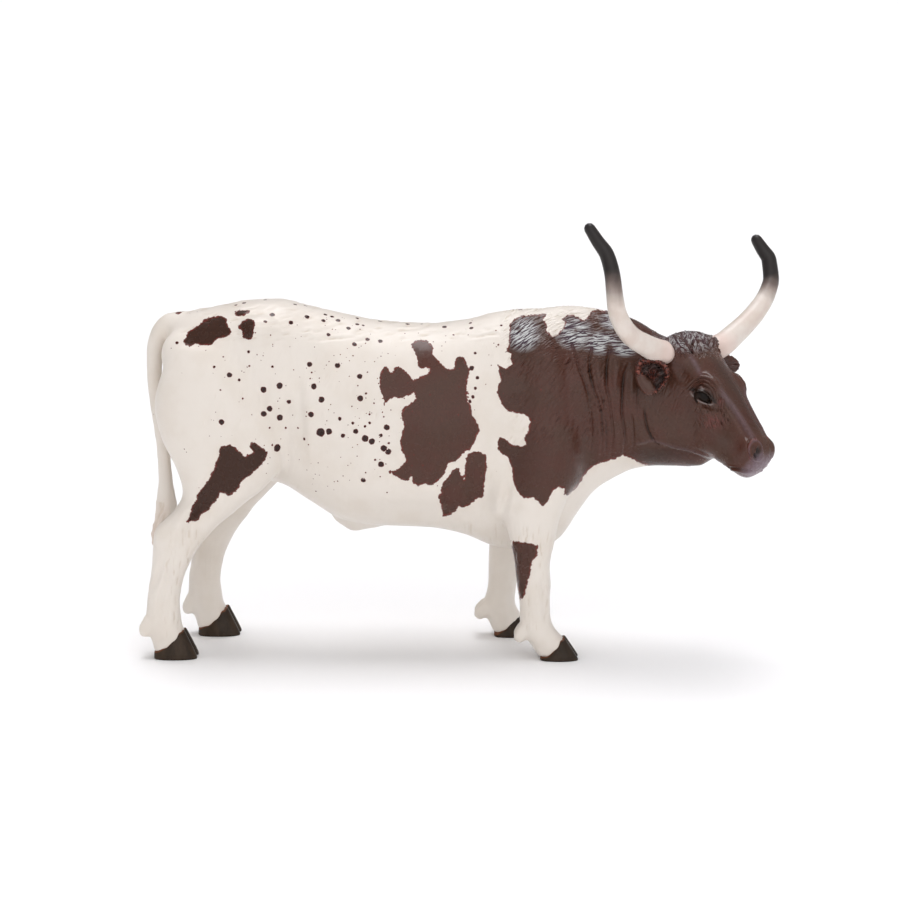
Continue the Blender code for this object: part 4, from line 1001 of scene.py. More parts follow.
def nostril(flat):
    """A hollow that is deepest along a crescent, with a raised rim and a furrow round it."""
    away = flat - NOSTRIL
    reach = np.hypot((away[:, 0] + 0.2 * away[:, 1]) / NOSTRIL_HALF[0], away[:, 1] / NOSTRIL_HALF[1])
    crescent = bell(reach, 0.6, 0.28) * np.clip(away[:, 0] - 0.5 * away[:, 1], 0, 1)
    shape = -0.8 * np.clip(1.05 - reach, 0, 0.5) - 1.1 * crescent
    shape += 0.2 * bell(reach, 1.06, 0.1)
    shape -= 0.2 * bell(reach, 1.36, 0.1) * (away[:, 0] < 0.3)
    return shape


def carved_head(points, normals):
    """Hair on the poll, wrinkles round the eyes, nostrils, mouth and jaws."""
    along = head_places(points)[:, 0]
    towards = normals @ VIEW_BACK
    front = (along > -12) & (points[:, 0] > 66) & (towards > 0.0)
    flat = seen(points)
    moved = hairs(flat, front, ((67.5, 20.8), (83.0, 26.4)), poll_way, 70, 2.2, 0.3, 0.16, 51, 1.2)
    moved += hairs(flat, front, ((67.5, 20.0), (83.5, 26.4)), poll_way, 680, 1.5, 0.12, 0.11, 53, 1.2)
    top = (along > -6) & (along < 4) & (towards <= 0.0) & (normals[:, 2] > 0)
    from_above, box = points[:, :2], ((62.0, -22.0), (88.0, 8.0))
    moved += hairs(from_above, top, box, steady(-45), 300, 1.8, 0.2, 0.15, 57, 1.0)

    left, turned = turned_right(points)
    cheek = (along > -6) & (over(normals, left) @ VIEW_BACK > 0.03)
    flat = seen(turned)
    for path, width, depth in WRINKLES:
        moved += groove(flat, in_view(path), width, depth, 0.6 * depth, cheek)
    moved += groove(flat, RIDGE, 0.55, -0.4, -0.2, cheek, 0.2)
    moved += groove(flat, BROW_STREAK, 0.9, -0.25, 0.0, cheek)
    moved += groove(flat, JAW_LINE, 0.3, -0.2, -0.1, cheek)
    moved += groove(flat, MOUTH_LINE, 0.24, 0.4, 0.2, cheek, 0.15)
    moved += nostril(flat) * cheek * (along > 24) * np.where(left, 0.15, 1)
    moved += hairs(flat, cheek, ((77.5, 3.2), (85.0, 8.6)), steady(-70), 60, 1.6, 0.15, 0.13, 61, 0.5)
    moved += hairs(flat, cheek, ((66.0, 0.0), (78.0, 16.0)), steady(62), 90, 1.8, 0.18, 0.05, 65)
    return moved


def feet():
    """Each hoof's sizes, side, step along and words."""
    for side, word in SIDES:
        for place, sizes, steps in (("hind", HIND_HOOF, HIND_STEPS), ("front", FORE_HOOF, FORE_STEPS)):
            yield sizes, side, steps[side][0][1], f"{place}_{word}"


FOOT_REACH = 8  # from a foot's middle, more than its own size and less than the way to the next one
TUCKED_SHARE = 0.3  # of the way to the foot's middle


def below_coronet(points, sizes, step):
    """How far each point is below the slanting top of a hoof."""
    (front_x, front_z), (back_x, back_z), _ = sizes
    slope = (front_z - back_z) / (front_x - back_x)
    return back_z + slope * (points[:, 0] - step - back_x) - points[:, 2]


def tucked_in(points):
    """The feet drawn in where the hooves cover them."""
    points = points.copy()
    for sizes, side, step, _ in feet():
        (front_x, _), (back_x, _), _ = sizes
        middle = np.array(((front_x + back_x) / 2 + step, -side * LEG_OUT))
        near = np.linalg.norm(points[:, :2] - middle, axis=1) < FOOT_REACH
        share = TUCKED_SHARE * np.clip((below_coronet(points, sizes, step) - 1.0) / 1.5, 0, 1) * near
        points[:, :2] += (middle - points[:, :2]) * share[:, None]
    return points


def skin():
    """The whole body but horns, ears, eyes and hooves, as one closed surface with its paint's attributes."""
    surfaces = [
        loft([body_ring(row) for row in curve_through(TORSO, TORSO_RINGS)]),
        loft([neck_ring(row) for row in curve_through(NECK, NECK_RINGS)]),
        loft([head_ring(row) for row in curve_through(HEAD, HEAD_RINGS)]),
    ]
    for rows, steps in ((HIND_LEG, HIND_STEPS), (FORELEG, FORE_STEPS)):
        surfaces += [leg(rows, side, steps[side]) for side in (RIGHT, LEFT)]
    for place, steps in DEWCLAW_PLACES:
        for side in (RIGHT, LEFT):
            surfaces += dewclaws(place, side, steps[side])
    surfaces += [*muscles(), *head_lumps(), tube(TAIL, 60, 40), tube(SWITCH, 50, 40)]
    body = fused("hide", surfaces, VOXEL)

    points, edges = points_of(body.data), edges_of(body.data)
    around_dewclaws = (points[:, 2] < 12.5) & (points[:, 2] > 5.5)
    share = np.where(is_tail(points), 0.06, np.where(around_dewclaws, 0.12, 0.5))
    points = relaxed(points, edges, SMOOTHING_ROUNDS, share)
    below_jaw = -groove(seen(turned_right(points)[1]), JAW_LINE, 2.2, 1.0, taper=0.1)
    below_jaw *= head_places(points)[:, 0] < 24
    before_shoulder = swelling(points[:, (0, 2)], (52.0, 46.0), (9.0, 18.0), 1.5)
    points = relaxed(points, edges, 90, 0.5 * np.clip(np.maximum(below_jaw, before_shoulder), 0, 1))
    points = tucked_in(points)
    set_points(body.data, points)
    set_points(body.data, points + normals_of(body.data) * body_forms(points)[:, None])
    finer(body, before_and_above)
    smoothed(body, 2)
    finer(body, strokes_are_fine)
    points = with_lids(smoothed(body, 2))
    set_points(body.data, points)
    normals = normals_of(body.data)
    moved = carved_body(points, normals) + carved_head(points, normals)
    set_points(body.data, points + normals * (moved + soft_folds(points, normals))[:, None])
    painted(body.data, points, normals, moved)
    return moved_to_place(body)


def before_and_above(middles):
    """Where the surface has to be finer: the shoulders, the neck and the head."""
    return (middles[:, 0] > 30) & (middles[:, 2] > 38)


def strokes_are_fine(middles):
    """Where the surface has to be finest: the shoulders' tops and the head."""
    x, z = middles[:, 0], middles[:, 2]
    return ((x > 30) & (z > 67)) | (head_places(middles)[:, 0] > -4) & (x > 66)


# Where the paint goes

PATCH_REACH = 2.5  # the most that a place's distance to an outline can be
HEAD_BEGINS = 68  # beyond this x everything is brown


def inside_distance(flat, outline):
    """How far inside an outline each place is, negative outside it."""
    outline = np.array(outline)
    low, high = outline.min(axis=0) - PATCH_REACH, outline.max(axis=0) + PATCH_REACH
    near = (flat > low).all(axis=1) & (flat < high).all(axis=1)
    chosen = flat[near]
    best = np.full(len(chosen), PATCH_REACH)
    inside = np.zeros(len(chosen), bool)
    for a, b in zip(outline, np.roll(outline, -1, axis=0)):
        way = b - a
        t = np.clip(((chosen - a) @ way) / (way @ way), 0, 1)
        best = np.minimum(best, np.linalg.norm(chosen - a - t[:, None] * way, axis=1))
        crosses = (a[1] > chosen[:, 1]) != (b[1] > chosen[:, 1])
        rise = way[1] if way[1] else 1e-9
        inside ^= crosses & (chosen[:, 0] < a[0] + (chosen[:, 1] - a[1]) / rise * way[0])
    distance = np.full(len(flat), -PATCH_REACH)
    distance[near] = np.where(inside, best, -best)
    return distance


def rounded(outline):
    """A closed outline with its corners cut off twice."""
    outline = np.array(outline)
    for _ in range(2):
        ahead = np.roll(outline, -1, axis=0)
        cut = [0.75 * outline + 0.25 * ahead, 0.25 * outline + 0.75 * ahead]
        outline = np.stack(cut, axis=1).reshape(-1, 2)
    return outline


def add_values(mesh, name, values, domain="POINT"):
    kind = "FLOAT_VECTOR" if np.ndim(values) == 2 else "FLOAT"
    layer = mesh.attributes.new(name, kind, domain)
    key = "vector" if kind == "FLOAT_VECTOR" else "value"
    layer.data.foreach_set(key, np.ravel(values).astype(np.float32))


SILVER_HIGHLIGHT_PLACES = (  # where a painted silver highlight and lavender sheen lie over the strokes: middles and half sizes in the view
    ((36.5, 25.3), (4.6, 4.6)),
    ((48.5, 25.6), (5.0, 4.4)),
    ((55.0, 23.2), (5.5, 3.2)),
    ((57.5, 28.5), (3.5, 2.5)),
    ((60.5, 21.8), (3.6, 2.2)),
    ((75.6, 24.0), (8.6, 3.7)),
)
COMBED = (  # boxes in the view, which way the hair lies in each, and how strongly it shows
    ((-60.0, -60.0, 90.0, 60.0), steady(74.0), 0.35),
    ((-46.0, 24.0, 30.0, 60.0), steady(8.0), 0.4),
    ((-60.0, -60.0, 60.0, -20.0), upright, 0.5),
    ((34.0, -4.0, 57.0, 19.0), steady(52.0), 0.8),
    ((31.0, 18.5, 57.0, 60.0), shoulder_way, 1.3),
    ((56.5, 17.0, 68.0, 60.0), along_neck(4.0, 2.0), 1.2),
    ((67.5, 20.0, 84.0, 60.0), poll_way, 1.2),
)


def inside_patches(points, normals):
    """How far inside the brown each point is."""
    brown = np.full(len(points), -PATCH_REACH)
    patches = {RIGHT: RIGHT_PATCHES, LEFT: [rounded(patch) for patch in LEFT_PATCHES]}
    for side, turned, towards in from_each_side(points, normals):
        flat = seen(turned)
        across = np.maximum(turned[:, 1], 0)
        hidden = across + 4 * np.clip(-0.15 - towards, 0, 1)
        for n, patch in enumerate(patches[side]):
            brown = np.maximum(brown, inside_distance(flat, patch) - (across if n == 0 else hidden))
    return np.maximum(brown, np.clip(points[:, 0] - HEAD_BEGINS, -PATCH_REACH, PATCH_REACH))


POLL_FINENESS = 1.6  # of the poll's strands beside those of the rest


def hair_of(flat):
    """Each point's place along and across the hair, and how strongly the hair shows there."""
    strand = np.zeros((len(flat), 3))
    combing = np.zeros(len(flat))
    for (x0, y0, x1, y1), way, strength in COMBED:
        inside = np.min([flat[:, 0] - x0, x1 - flat[:, 0], flat[:, 1] - y0, y1 - flat[:, 1]], axis=0)
        share = np.clip(inside / 2 + 0.5, 0, 1)
        new = inside > 0
        middle = ((x0 + x1) / 2, (y0 + min(y1, 28.0)) / 2)
        strand[new, :2] = combed(flat[new], middle, way) * (POLL_FINENESS if way is poll_way else 1.0)
        combing = np.where(new, strength * (2 * share - 1), combing * (1 - 2 * share))
    return strand, combing


def silver_highlight_of(flat, heights):
    """How strongly the painted silver highlight lies on each point."""
    silver_highlight = np.zeros(len(flat))
    for middle, half in SILVER_HIGHLIGHT_PLACES:
        silver_highlight = np.maximum(silver_highlight, np.clip(1.7 - 1.7 * np.linalg.norm((flat - middle) / half, axis=1), 0, 1))
    return silver_highlight * (np.clip((heights - 60) / 4, 0, 1) * np.where(flat[:, 0] > 66, 0.55, 1.0))


def face_paint(points, normals):
    """How strongly each of the face's tints, painted highlights and painted shade lies on each point."""
    along, _, up = head_places(points).T
    left, turned = turned_right(points)
    flat = seen(turned)
    on_face = (along > 4) & (over(normals, left) @ VIEW_BACK > 0)
    upper_face = along < 20
    away = flat - NOSTRIL
    nostril_reach = np.hypot(away[:, 0] / NOSTRIL_HALF[0], away[:, 1] / NOSTRIL_HALF[1])
    reach, above = eye_reach(flat)

    reddish = swelling(flat, (81.2, 4.6), (4.5, 3.0), 0.6)
    reddish += swelling(flat, (83.0, 9.0), (1.4, 2.0), 0.7)
    reddish += 0.8 * bell(nostril_reach, 1.2, 0.15) * (away[:, 0] < 0.4)
    lid = bell(reach, 1.2, 0.16) * np.clip(0.3 - above, 0, 1)
    # painted highlights along the nose's ridge, the jaw line, the brow streak and the nostril's rim
    pale = -groove(flat, RIDGE, 0.7, 0.8, 0.0, on_face, 0.15)
    pale -= groove(flat, JAW_LINE, 0.25, 0.5, 0.0, on_face)
    pale -= groove(flat, BROW_STREAK, 0.6, 0.8)
    pale += 0.9 * bell(nostril_reach, 1.06, 0.1) * on_face * ~left
    # painted reflection on the muzzle's front
    muzzle = np.clip((along - 30.6) / 1.6, 0, 1) * (points[:, 0] > 70) * np.clip(1.5 - up, 0, 1)
    # painted shade: in the nostril's hollow, inside the eye's opening, over the upper lid and on the face's
    # front plane
    painted_shade = bell(nostril_reach, 0.6, 0.3) * np.clip(away[:, 0] - 0.5 * away[:, 1], 0, 1) * ~left
    painted_shade += np.clip(1.15 - reach, 0, 0.4) * 2.5 * upper_face
    painted_shade += 0.95 * bell(reach, 1.3, 0.4) * (above > 0.3) * upper_face
    painted_shade -= groove(flat, FACE_FRONT, 2.3, 0.45, taper=0.12)
    painted_shade *= on_face
    painted_shade += swelling(flat, (69.5, -3.6), (13.0, 3.6), 0.5) * (up < 0)  # painted shade under the throat
    return {
        "reddish": reddish * on_face,
        "lid": lid * on_face * upper_face,
        "pale": np.clip(pale, 0, 1) * 0.5 + muzzle,
        "painted_shade": np.clip(painted_shade, 0, 1),
    }


def painted(mesh, points, normals, moved):
    """Give the skin's mesh every value that its paint asks for."""
    flat = seen(np.column_stack([points[:, 0], -np.abs(points[:, 1]), points[:, 2]]))
    strand, combing = hair_of(flat)
    values = {
        "brown": inside_patches(points, normals),
        "carved": moved,
        "strand": strand,
        "combing": combing,
        # painted silver highlight and sheen on the shoulders and poll
        "silver_highlight": silver_highlight_of(flat, points[:, 2]),
        # the face's tints, painted highlights and painted shade
        **face_paint(points, normals),
        "switch": is_tail(points) * np.clip((38 - points[:, 2]) / 12, 0, 1),
    }
    for name, value in values.items():
        add_values(mesh, name, value)
    spots(mesh)


def spots(mesh):
    """Every face near a spot gets that spot's middle and radius."""
    tree = BVHTree.FromPolygons([v.co for v in mesh.vertices], [tuple(p.vertices) for p in mesh.polygons])
    eye = AIM + VIEW_BACK * CAMERA_DISTANCE
    chance = np.random.default_rng(7)
    wanted = [(RIGHT, *spot) for spot in SPOTS]
    for side, count, low, high in SCATTERED:
        for _ in range(count):
            across, up = chance.normal(*SCATTER_ACROSS), chance.uniform(*SCATTER_UP)
            wanted.append((side, across, up, chance.uniform(low, high)))
    middles = np.empty(len(mesh.polygons) * 3, np.float32)
    mesh.polygons.foreach_get("center", middles)
    middles = middles.reshape(-1, 3) / MM
    best = np.full(len(middles), SPOT_REACH)
    where = np.zeros((len(middles), 3))
    radius = np.zeros(len(middles))
    for side, across, up, size in wanted:
        aim = AIM + across * VIEW_RIGHT + up * VIEW_UP
        turn = (1, side, 1)
        start, way = eye * turn, (aim - eye) * turn
        hit = tree.ray_cast(Vector(start * MM), Vector(way).normalized())[0]
        if hit is None:
            continue
        hit = np.array(hit) / MM
        near = np.abs(middles[:, 0] - hit[0]) < size + SPOT_REACH
        distance = np.full(len(middles), 9.0)
        distance[near] = np.linalg.norm(middles[near] - hit, axis=1) - size
        closer = distance < best
        best[closer] = distance[closer]
        where[closer] = (hit + TO_ORIGIN) * MM
        radius[closer] = size
    add_values(mesh, "spot_place", where, "FACE")
    add_values(mesh, "spot_radius", radius, "FACE")


# Horns, ears, eyes and hooves

def horn_line(side):
    forward = np.array((math.cos(HEAD_YAW), -math.sin(HEAD_YAW), 0))
    outward = side * np.array((-math.sin(HEAD_YAW), -math.cos(HEAD_YAW), 0))
    return [
        (*(POLL + out * outward + ahead * forward + up * UPWARD), radius)
        for out, ahead, up, radius in HORNS[side]
    ]


def horn(side, word):
    rows = horn_line(side)
    points, faces = tube(rows, 90, 48)
    obj = object_of(f"horn_{word}_horn", mesh_of("horn", points, faces))
    fine = np.array(curve_through(rows, 200))[:, :3]
    nearest = np.array([np.argmin(((fine - p) ** 2).sum(axis=1)) for p in points]) / 199
    add_values(obj.data, "along", nearest)
    return moved_to_place(obj)


EAR_OUTLINE = (  # of the right ear, in the picture's pixels
    (637.6, 361.5), (641.4, 359.1), (648.6, 358.4), (655.7, 358.9), (663.9, 361.9), (668.6, 366),
    (670.8, 371), (671, 376), (667.8, 382), (659.3, 391.2), (655, 395.8), (650.6, 397), (645.5, 395.8),
    (641.2, 391.5), (636.8, 382.6), (635.6, 375.9), (636, 367),
)
EAR_OPENING = (
    (641.2, 367.5), (645.5, 364.6), (651, 363.4), (657, 363.8), (662.3, 366.6), (665.6, 371.3),
    (666.3, 376.2), (664.9, 380.8), (661.1, 386.3), (657.2, 391.3), (655.2, 387), (652.5, 381.5),
    (647, 377), (641.6, 372.5),
)
EAR_MIDDLE = in_view((656.0, 375.5))
EAR_TUFT = in_view((653.4, 375.6))
EAR_BOX = (in_view((634, 398)), in_view((673, 357)))
EAR_RINGS = (  # how far out from the root, 1 on the outline or 0 on the opening, and how much of it
    (-1.0, 1, 0.3), (1.5, 1, 0.6), (3.8, 1, 0.86), (5.4, 1, 0.97), (6.3, 0.97, 1), (7.0, 0.85, 1),
    (7.5, 0.6, 1), (7.5, 0.3, 1), (7.2, 0.08, 1), (6.6, 0, 0.97), (5.4, 0, 0.9), (4.3, 0, 0.78),
    (3.6, 0, 0.4),
)


def reach_at(path, angles):
    """How far from the ear's middle a closed path is at each angle."""
    away = in_view(path) - EAR_MIDDLE
    turns = np.arctan2(away[:, 1], away[:, 0])
    order = np.argsort(turns)
    return np.interp(angles, turns[order], np.linalg.norm(away, axis=1)[order], period=2 * math.pi)


def right_ear():
    """A thick-rimmed cup that opens towards the camera, with its lower edge folded over it."""
    root = on_head(*EAR_ROOT[RIGHT])
    start, level = seen(root[None])[0], (root - AIM) @ VIEW_BACK
    angles = np.linspace(-math.pi, math.pi, 120, endpoint=False)
    around = np.column_stack([np.cos(angles), np.sin(angles)])
    opening, outline = (reach_at(path, angles)[:, None] for path in (EAR_OPENING, EAR_OUTLINE))
    rings = []
    for n, (ahead, outer, size) in enumerate(EAR_RINGS):
        edge = EAR_MIDDLE + around * (opening + outer * (outline - opening))
        focus = EAR_MIDDLE if n > 5 else start + (EAR_MIDDLE - start) * 0.3
        flat = focus + (edge - focus) * size
        near = (CAMERA_DISTANCE - level - ahead) / CAMERA_DISTANCE
        in_plane = flat[:, :1] * VIEW_RIGHT + flat[:, 1:] * VIEW_UP
        rings.append(AIM + in_plane * near + VIEW_BACK * (level + ahead))
    tuft = AIM + EAR_TUFT[0] * VIEW_RIGHT + EAR_TUFT[1] * VIEW_UP + VIEW_BACK * (level + 4.4)
    obj = fused("ear", [loft(rings), ellipsoid(tuft, (1.2, 1.3, 1.0), around=32)], 0.11)
    points = smoothed(obj, 6)
    normals = normals_of(obj.data)
    flat = seen(points)
    away = flat - EAR_MIDDLE
    turns = np.arctan2(away[:, 1], away[:, 0])
    opening, outline = (reach_at(path, turns) for path in (EAR_OPENING, EAR_OUTLINE))
    across = (np.linalg.norm(away, axis=1) - opening) / (outline - opening)
    front = normals @ VIEW_BACK > -0.1
    band = np.clip((2.6 - outline + opening) / 0.8, 0, 1)
    rim = band * np.clip(1.6 - 2.2 * np.abs(across - 0.35), 0, 1) * front
    in_tuft = np.exp(-(((flat - EAR_TUFT) / (1.3, 1.4)) ** 2).sum(axis=1)) * (across < -0.1)
    radial = lambda x, y: math.degrees(math.atan2(y - EAR_MIDDLE[1], x - EAR_MIDDLE[0]))
    tuft_box = (EAR_TUFT - 1.5, EAR_TUFT + 1.5)
    moved = hairs(flat, front & (rim > 0.1), EAR_BOX, radial, 420, 1.0, 0.13, 0.16, 81, 0.8)
    moved += hairs(flat, in_tuft > 0.15, tuft_box, upright, 34, 1.5, 0.13, 0.2, 83)
    moved += hairs(flat, across < 0, EAR_BOX, steady(50), 160, 1.0, 0.14, 0.14, 85, 1.0)
    set_points(obj.data, points + normals * moved[:, None])
    outermost = 0.25 * np.clip(across - 0.7, 0, 1) * front
    add_values(obj.data, "inner", np.clip(-across * 3, 0, 1) * (1 - in_tuft) * front)
    add_values(obj.data, "edge", np.clip(rim + 1.2 * in_tuft + outermost, 0, 1))
    obj.name = "ear_right_leaf"
    return moved_to_place(obj)


def left_ear():
    """A leaf that is cupped from a solid root, seen as a crescent wherever it is cut across."""
    mirror = np.array((ALONG, -TO_RIGHT, UP))
    way = np.array(LEFT_EAR_WAY) @ mirror
    way /= np.linalg.norm(way)
    facing = np.array(LEFT_EAR_FACING) @ mirror
    facing -= way * (facing @ way)
    facing /= np.linalg.norm(facing)
    across = np.cross(way, facing)
    root = on_head(*EAR_ROOT[LEFT], LEFT)
    length_share, width_share = LEFT_EAR_SHARE
    back = np.linspace(0, math.pi, 40)
    front = back[1:-1]
    rings = []
    for row in curve_through([(row[0], 0, 0, *row[1:]) for row in LEFT_EAR], 60):
        distance, _, _, half, bulge, hollow = row
        middle, half = root + way * distance * length_share, half * width_share
        outside = [(math.cos(t) * half, -math.sin(t) * bulge) for t in back]
        inside = [(-math.cos(t) * (half - LEFT_EAR_EDGE), -math.sin(t) * hollow) for t in front]
        rings.append(np.array([middle + x * across + y * facing for x, y in outside + inside]))
    obj = fused("ear", [loft(rings)], 0.16)
    points = smoothed(obj, 4)
    normals = normals_of(obj.data)
    away = points - root
    plan = np.stack([away @ way, away @ across], axis=1)
    inner = np.clip(normals @ facing - 0.1, 0, 1) * np.clip(plan[:, 0] - 2, 0, 1)
    box = ((2.5, -3.5), (9.5, 3.5))
    moved = hairs(plan, inner > 0.05, box, steady(20), 60, 1.6, 0.16, 0.22, 81, 0.6)
    set_points(obj.data, points + normals * moved[:, None])
    add_values(obj.data, "inner", 0.3 * inner)
    add_values(obj.data, "edge", np.clip(1 - inner, 0, 1) * np.clip(away @ facing + 1.0, 0, 1))
    obj.name = "ear_left_leaf"
    return moved_to_place(obj)


def eye(side, word):
    axes = np.array((ALONG, UP, side * TO_RIGHT))
    surface = ellipsoid(on_head(*EYE_PLACE, side), (EYE_RADIUS,) * 3, axes, 40, 64)
    obj = object_of(f"eye_{word}_ball", mesh_of("eye", *surface))
    mesh = bmesh.new()
    mesh.from_mesh(obj.data)
    bmesh.ops.recalc_face_normals(mesh, faces=mesh.faces[:])
    mesh.to_mesh(obj.data)
    mesh.free()
    return moved_to_place(obj)


CLAW_LEVELS = (  # share of the way from the coronet to the sole, and how much of the full size
    (0, 0.9), (0.06, 0.99), (0.14, 1.0), (0.4, 1.01), (0.75, 1.01), (0.93, 1.0), (1, 0.96),
)


def hoof(sizes, side, step, word):
    """Two claws with a cleft between them, from the slanting coronet to the flat sole."""
    front, back, (toe, heel) = (np.array(size) for size in sizes)
    surfaces = []
    for claw in (-1, 1):
        rings = []
        for share, bulge in CLAW_LEVELS:
            ahead = front * (1 - share) + np.array((toe, SOLE_HEIGHT)) * share
            behind = back * (1 - share) + np.array((heel, SOLE_HEIGHT)) * share
            middle = (ahead + behind) / 2
            way = (ahead - behind) / 2 * bulge
            half = HOOF_HALF_WIDTH[0] * (1 - share) + HOOF_HALF_WIDTH[1] * share
            half_claw = half * bulge * (0.62 - 0.08 * share)
            out = -side * LEG_OUT + claw * (half * bulge - half_claw)
            centre = np.array((middle[0] + step, out, middle[1]))
            length = np.linalg.norm(way)
            along = np.array((way[0], 0, way[1])) / length
            rings.append(ring(centre, ACROSS, along, half_claw, length, length, 2.1, 2.6, around=64))
        surfaces.append(loft(rings[::-1]))
    obj = fused("hoof", surfaces, 0.16)
    points = smoothed(obj, 5)
    points[:, 2] = np.maximum(points[:, 2], SOLE_HEIGHT)
    below = below_coronet(points, sizes, step)
    share = (points[:, 0] - step - back[0]) / (front[0] - back[0])
    sag = 0.95 * np.clip(1 - ((share - 0.42) / 0.42) ** 2, 0, 1)
    sag += 0.14 * np.sin(2.9 * points[:, 0] + 1.7 * points[:, 1])
    points[:, 2] -= sag * np.clip(1 - below / 2.6, 0, 1) * (points[:, 2] > SOLE_HEIGHT + 0.3)
    set_points(obj.data, points)
    add_values(obj.data, "below", below)
    obj.name = f"hoof_{word}_claws"
    return moved_to_place(obj)


# Materials

class Nodes:
    """Short ways to add nodes to a tree."""

    def __init__(self, tree):
        self.tree = tree
        self.nodes = tree.nodes

    def add(self, kind, inputs=(), **settings):
        node = self.nodes.new("ShaderNode" + kind)
        for name, value in settings.items():
            setattr(node, name, value)
        for key, value in dict(inputs).items():
            self.put(value, node.inputs[key])
        return node

    def put(self, value, socket):
        if isinstance(value, bpy.types.NodeSocket):
            self.tree.links.new(value, socket)
        else:
            socket.default_value = value

    def attribute(self, name, output="Fac"):
        return self.add("Attribute", attribute_name=name).outputs[output]

    def place(self):
        return self.add("TexCoord").outputs["Object"]

    def math(self, operation, a, b=0.0, clamp=False):
        return self.add("Math", {0: a, 1: b}, operation=operation, use_clamp=clamp).outputs[0]

    def times(self, a, b, clamp=False):
        return self.math("MULTIPLY", a, b, clamp)

    def noise(self, per_mm, detail=3.0, roughness=0.55, stretch=(1, 1, 1)):
        """Noise from 0 to 1, with about so many waves to the millimetre."""
        mapped = self.add("Mapping", {"Vector": self.place(), "Scale": Vector(stretch)}).outputs[0]
        inputs = {"Vector": mapped, "Scale": per_mm / MM, "Detail": detail, "Roughness": roughness}
        return self.add("TexNoise", inputs).outputs["Fac"]

    def uneven(self, per_mm, detail, **settings):
        """Noise on either side of 0."""
        return self.math("SUBTRACT", self.noise(per_mm, detail, **settings), 0.5)

    def between(self, value, low, high, to_low=0.0, to_high=1.0):
        """value from low to high, turned smoothly into to_low to to_high."""
        inputs = {"Value": value, "From Min": low, "From Max": high, "To Min": to_low, "To Max": to_high}
        return self.add("MapRange", inputs, interpolation_type="SMOOTHSTEP").outputs[0]

    def mix(self, share, a, b):
        node = self.add("Mix", data_type="RGBA")
        self.put(share, node.inputs["Factor"])
        self.put(a, node.inputs[6])
        self.put(b, node.inputs[7])
        return node.outputs[2]

    def bump(self, height, distance, strength=1.0, under=None):
        inputs = {"Height": height, "Distance": distance * MM, "Strength": strength}
        if under is not None:
            inputs["Normal"] = under
        return self.add("Bump", inputs).outputs[0]


class Material(Nodes):
    """A Principled material."""

    def __init__(self, name, **settings):
        self.made = bpy.data.materials.new(name)
        self.made.use_nodes = True
        super().__init__(self.made.node_tree)
        self.shader = self.nodes["Principled BSDF"]
        for socket, value in settings.items():
            self.set(socket.replace("_", " "), value)

    def set(self, socket, value):
        self.put(value, self.shader.inputs[socket])


WHITE = (0.735, 0.68, 0.615, 1)
# a greyer white, for blotches and for painted shade in grooves
WHITE_GREY_AND_SHADE = (0.60, 0.52, 0.43, 1)
BROWN = (0.066, 0.029, 0.0185, 1)
BROWN_RED = (0.073, 0.026, 0.017, 1)
BROWN_REAR = (0.036, 0.011, 0.004, 1)  # of the patches on the hindquarters
# painted shade, in grooves and on the face and throat
SHADE_BROWN = (0.012, 0.005, 0.0025, 1)
# painted sheen and painted highlight for the strokes on the shoulders and poll
SHEEN_LAVENDER = (0.046, 0.032, 0.07, 1)
HIGHLIGHT_SILVER = (0.54, 0.55, 0.54, 1)
RIM = (0.14, 0.018, 0.012, 1)
SPOT = (0.024, 0.008, 0.006, 1)
BLUSH = (0.15, 0.04, 0.035, 1)
# painted highlight and reflection on the face
FACE_HIGHLIGHT = (0.18, 0.13, 0.155, 1)
LID_GREY = (0.24, 0.20, 0.19, 1)
SWITCH_STAIN = (0.62, 0.46, 0.38, 1)
HORN_CREAM = (0.71, 0.645, 0.585, 1)
HORN_TAN = (0.64, 0.545, 0.48, 1)
HORN_BLUSH = (0.70, 0.52, 0.46, 1)  # at the root
HORN_GREY = (0.20, 0.15, 0.13, 1)  # before the tip
HORN_TIP = (0.014, 0.010, 0.009, 1)
EAR_HOLLOW = (0.02, 0.012, 0.009, 1)
EAR_HOLLOW_LIGHT = (0.12, 0.085, 0.08, 1)
EAR_FUR = (0.045, 0.013, 0.009, 1)
EAR_FUR_LIGHT = (0.2, 0.055, 0.038, 1)
EYE_DARK = (0.008, 0.005, 0.004, 1)
EYE_BROWN = (0.024, 0.014, 0.010, 1)
HOOF_DARK = (0.020, 0.0105, 0.004, 1)
HOOF_LIGHT = (0.042, 0.025, 0.013, 1)
HOOF_EDGE = (0.16, 0.05, 0.015, 1)  # along the coronet
FLOOR_GREY = (0.95, 0.95, 0.95, 1)
FLOOR_PALE = (0.97, 0.97, 0.97, 1)


def white_coat(m, carved):
    """White with a few greyer blotches, painted shade in its grooves, and a stained switch."""
    white = m.mix(m.between(m.noise(0.12, 4), 0.4, 0.7, 0.0, 0.25), WHITE, WHITE_GREY_AND_SHADE)
    # painted shade in the carved grooves
    white = m.mix(m.between(carved, -0.03, -0.2, 0.0, 0.7), white, WHITE_GREY_AND_SHADE)
    return m.mix(m.times(m.attribute("switch"), m.noise(0.9, 3, 0.6, (1, 1, 0.12))), white, SWITCH_STAIN)


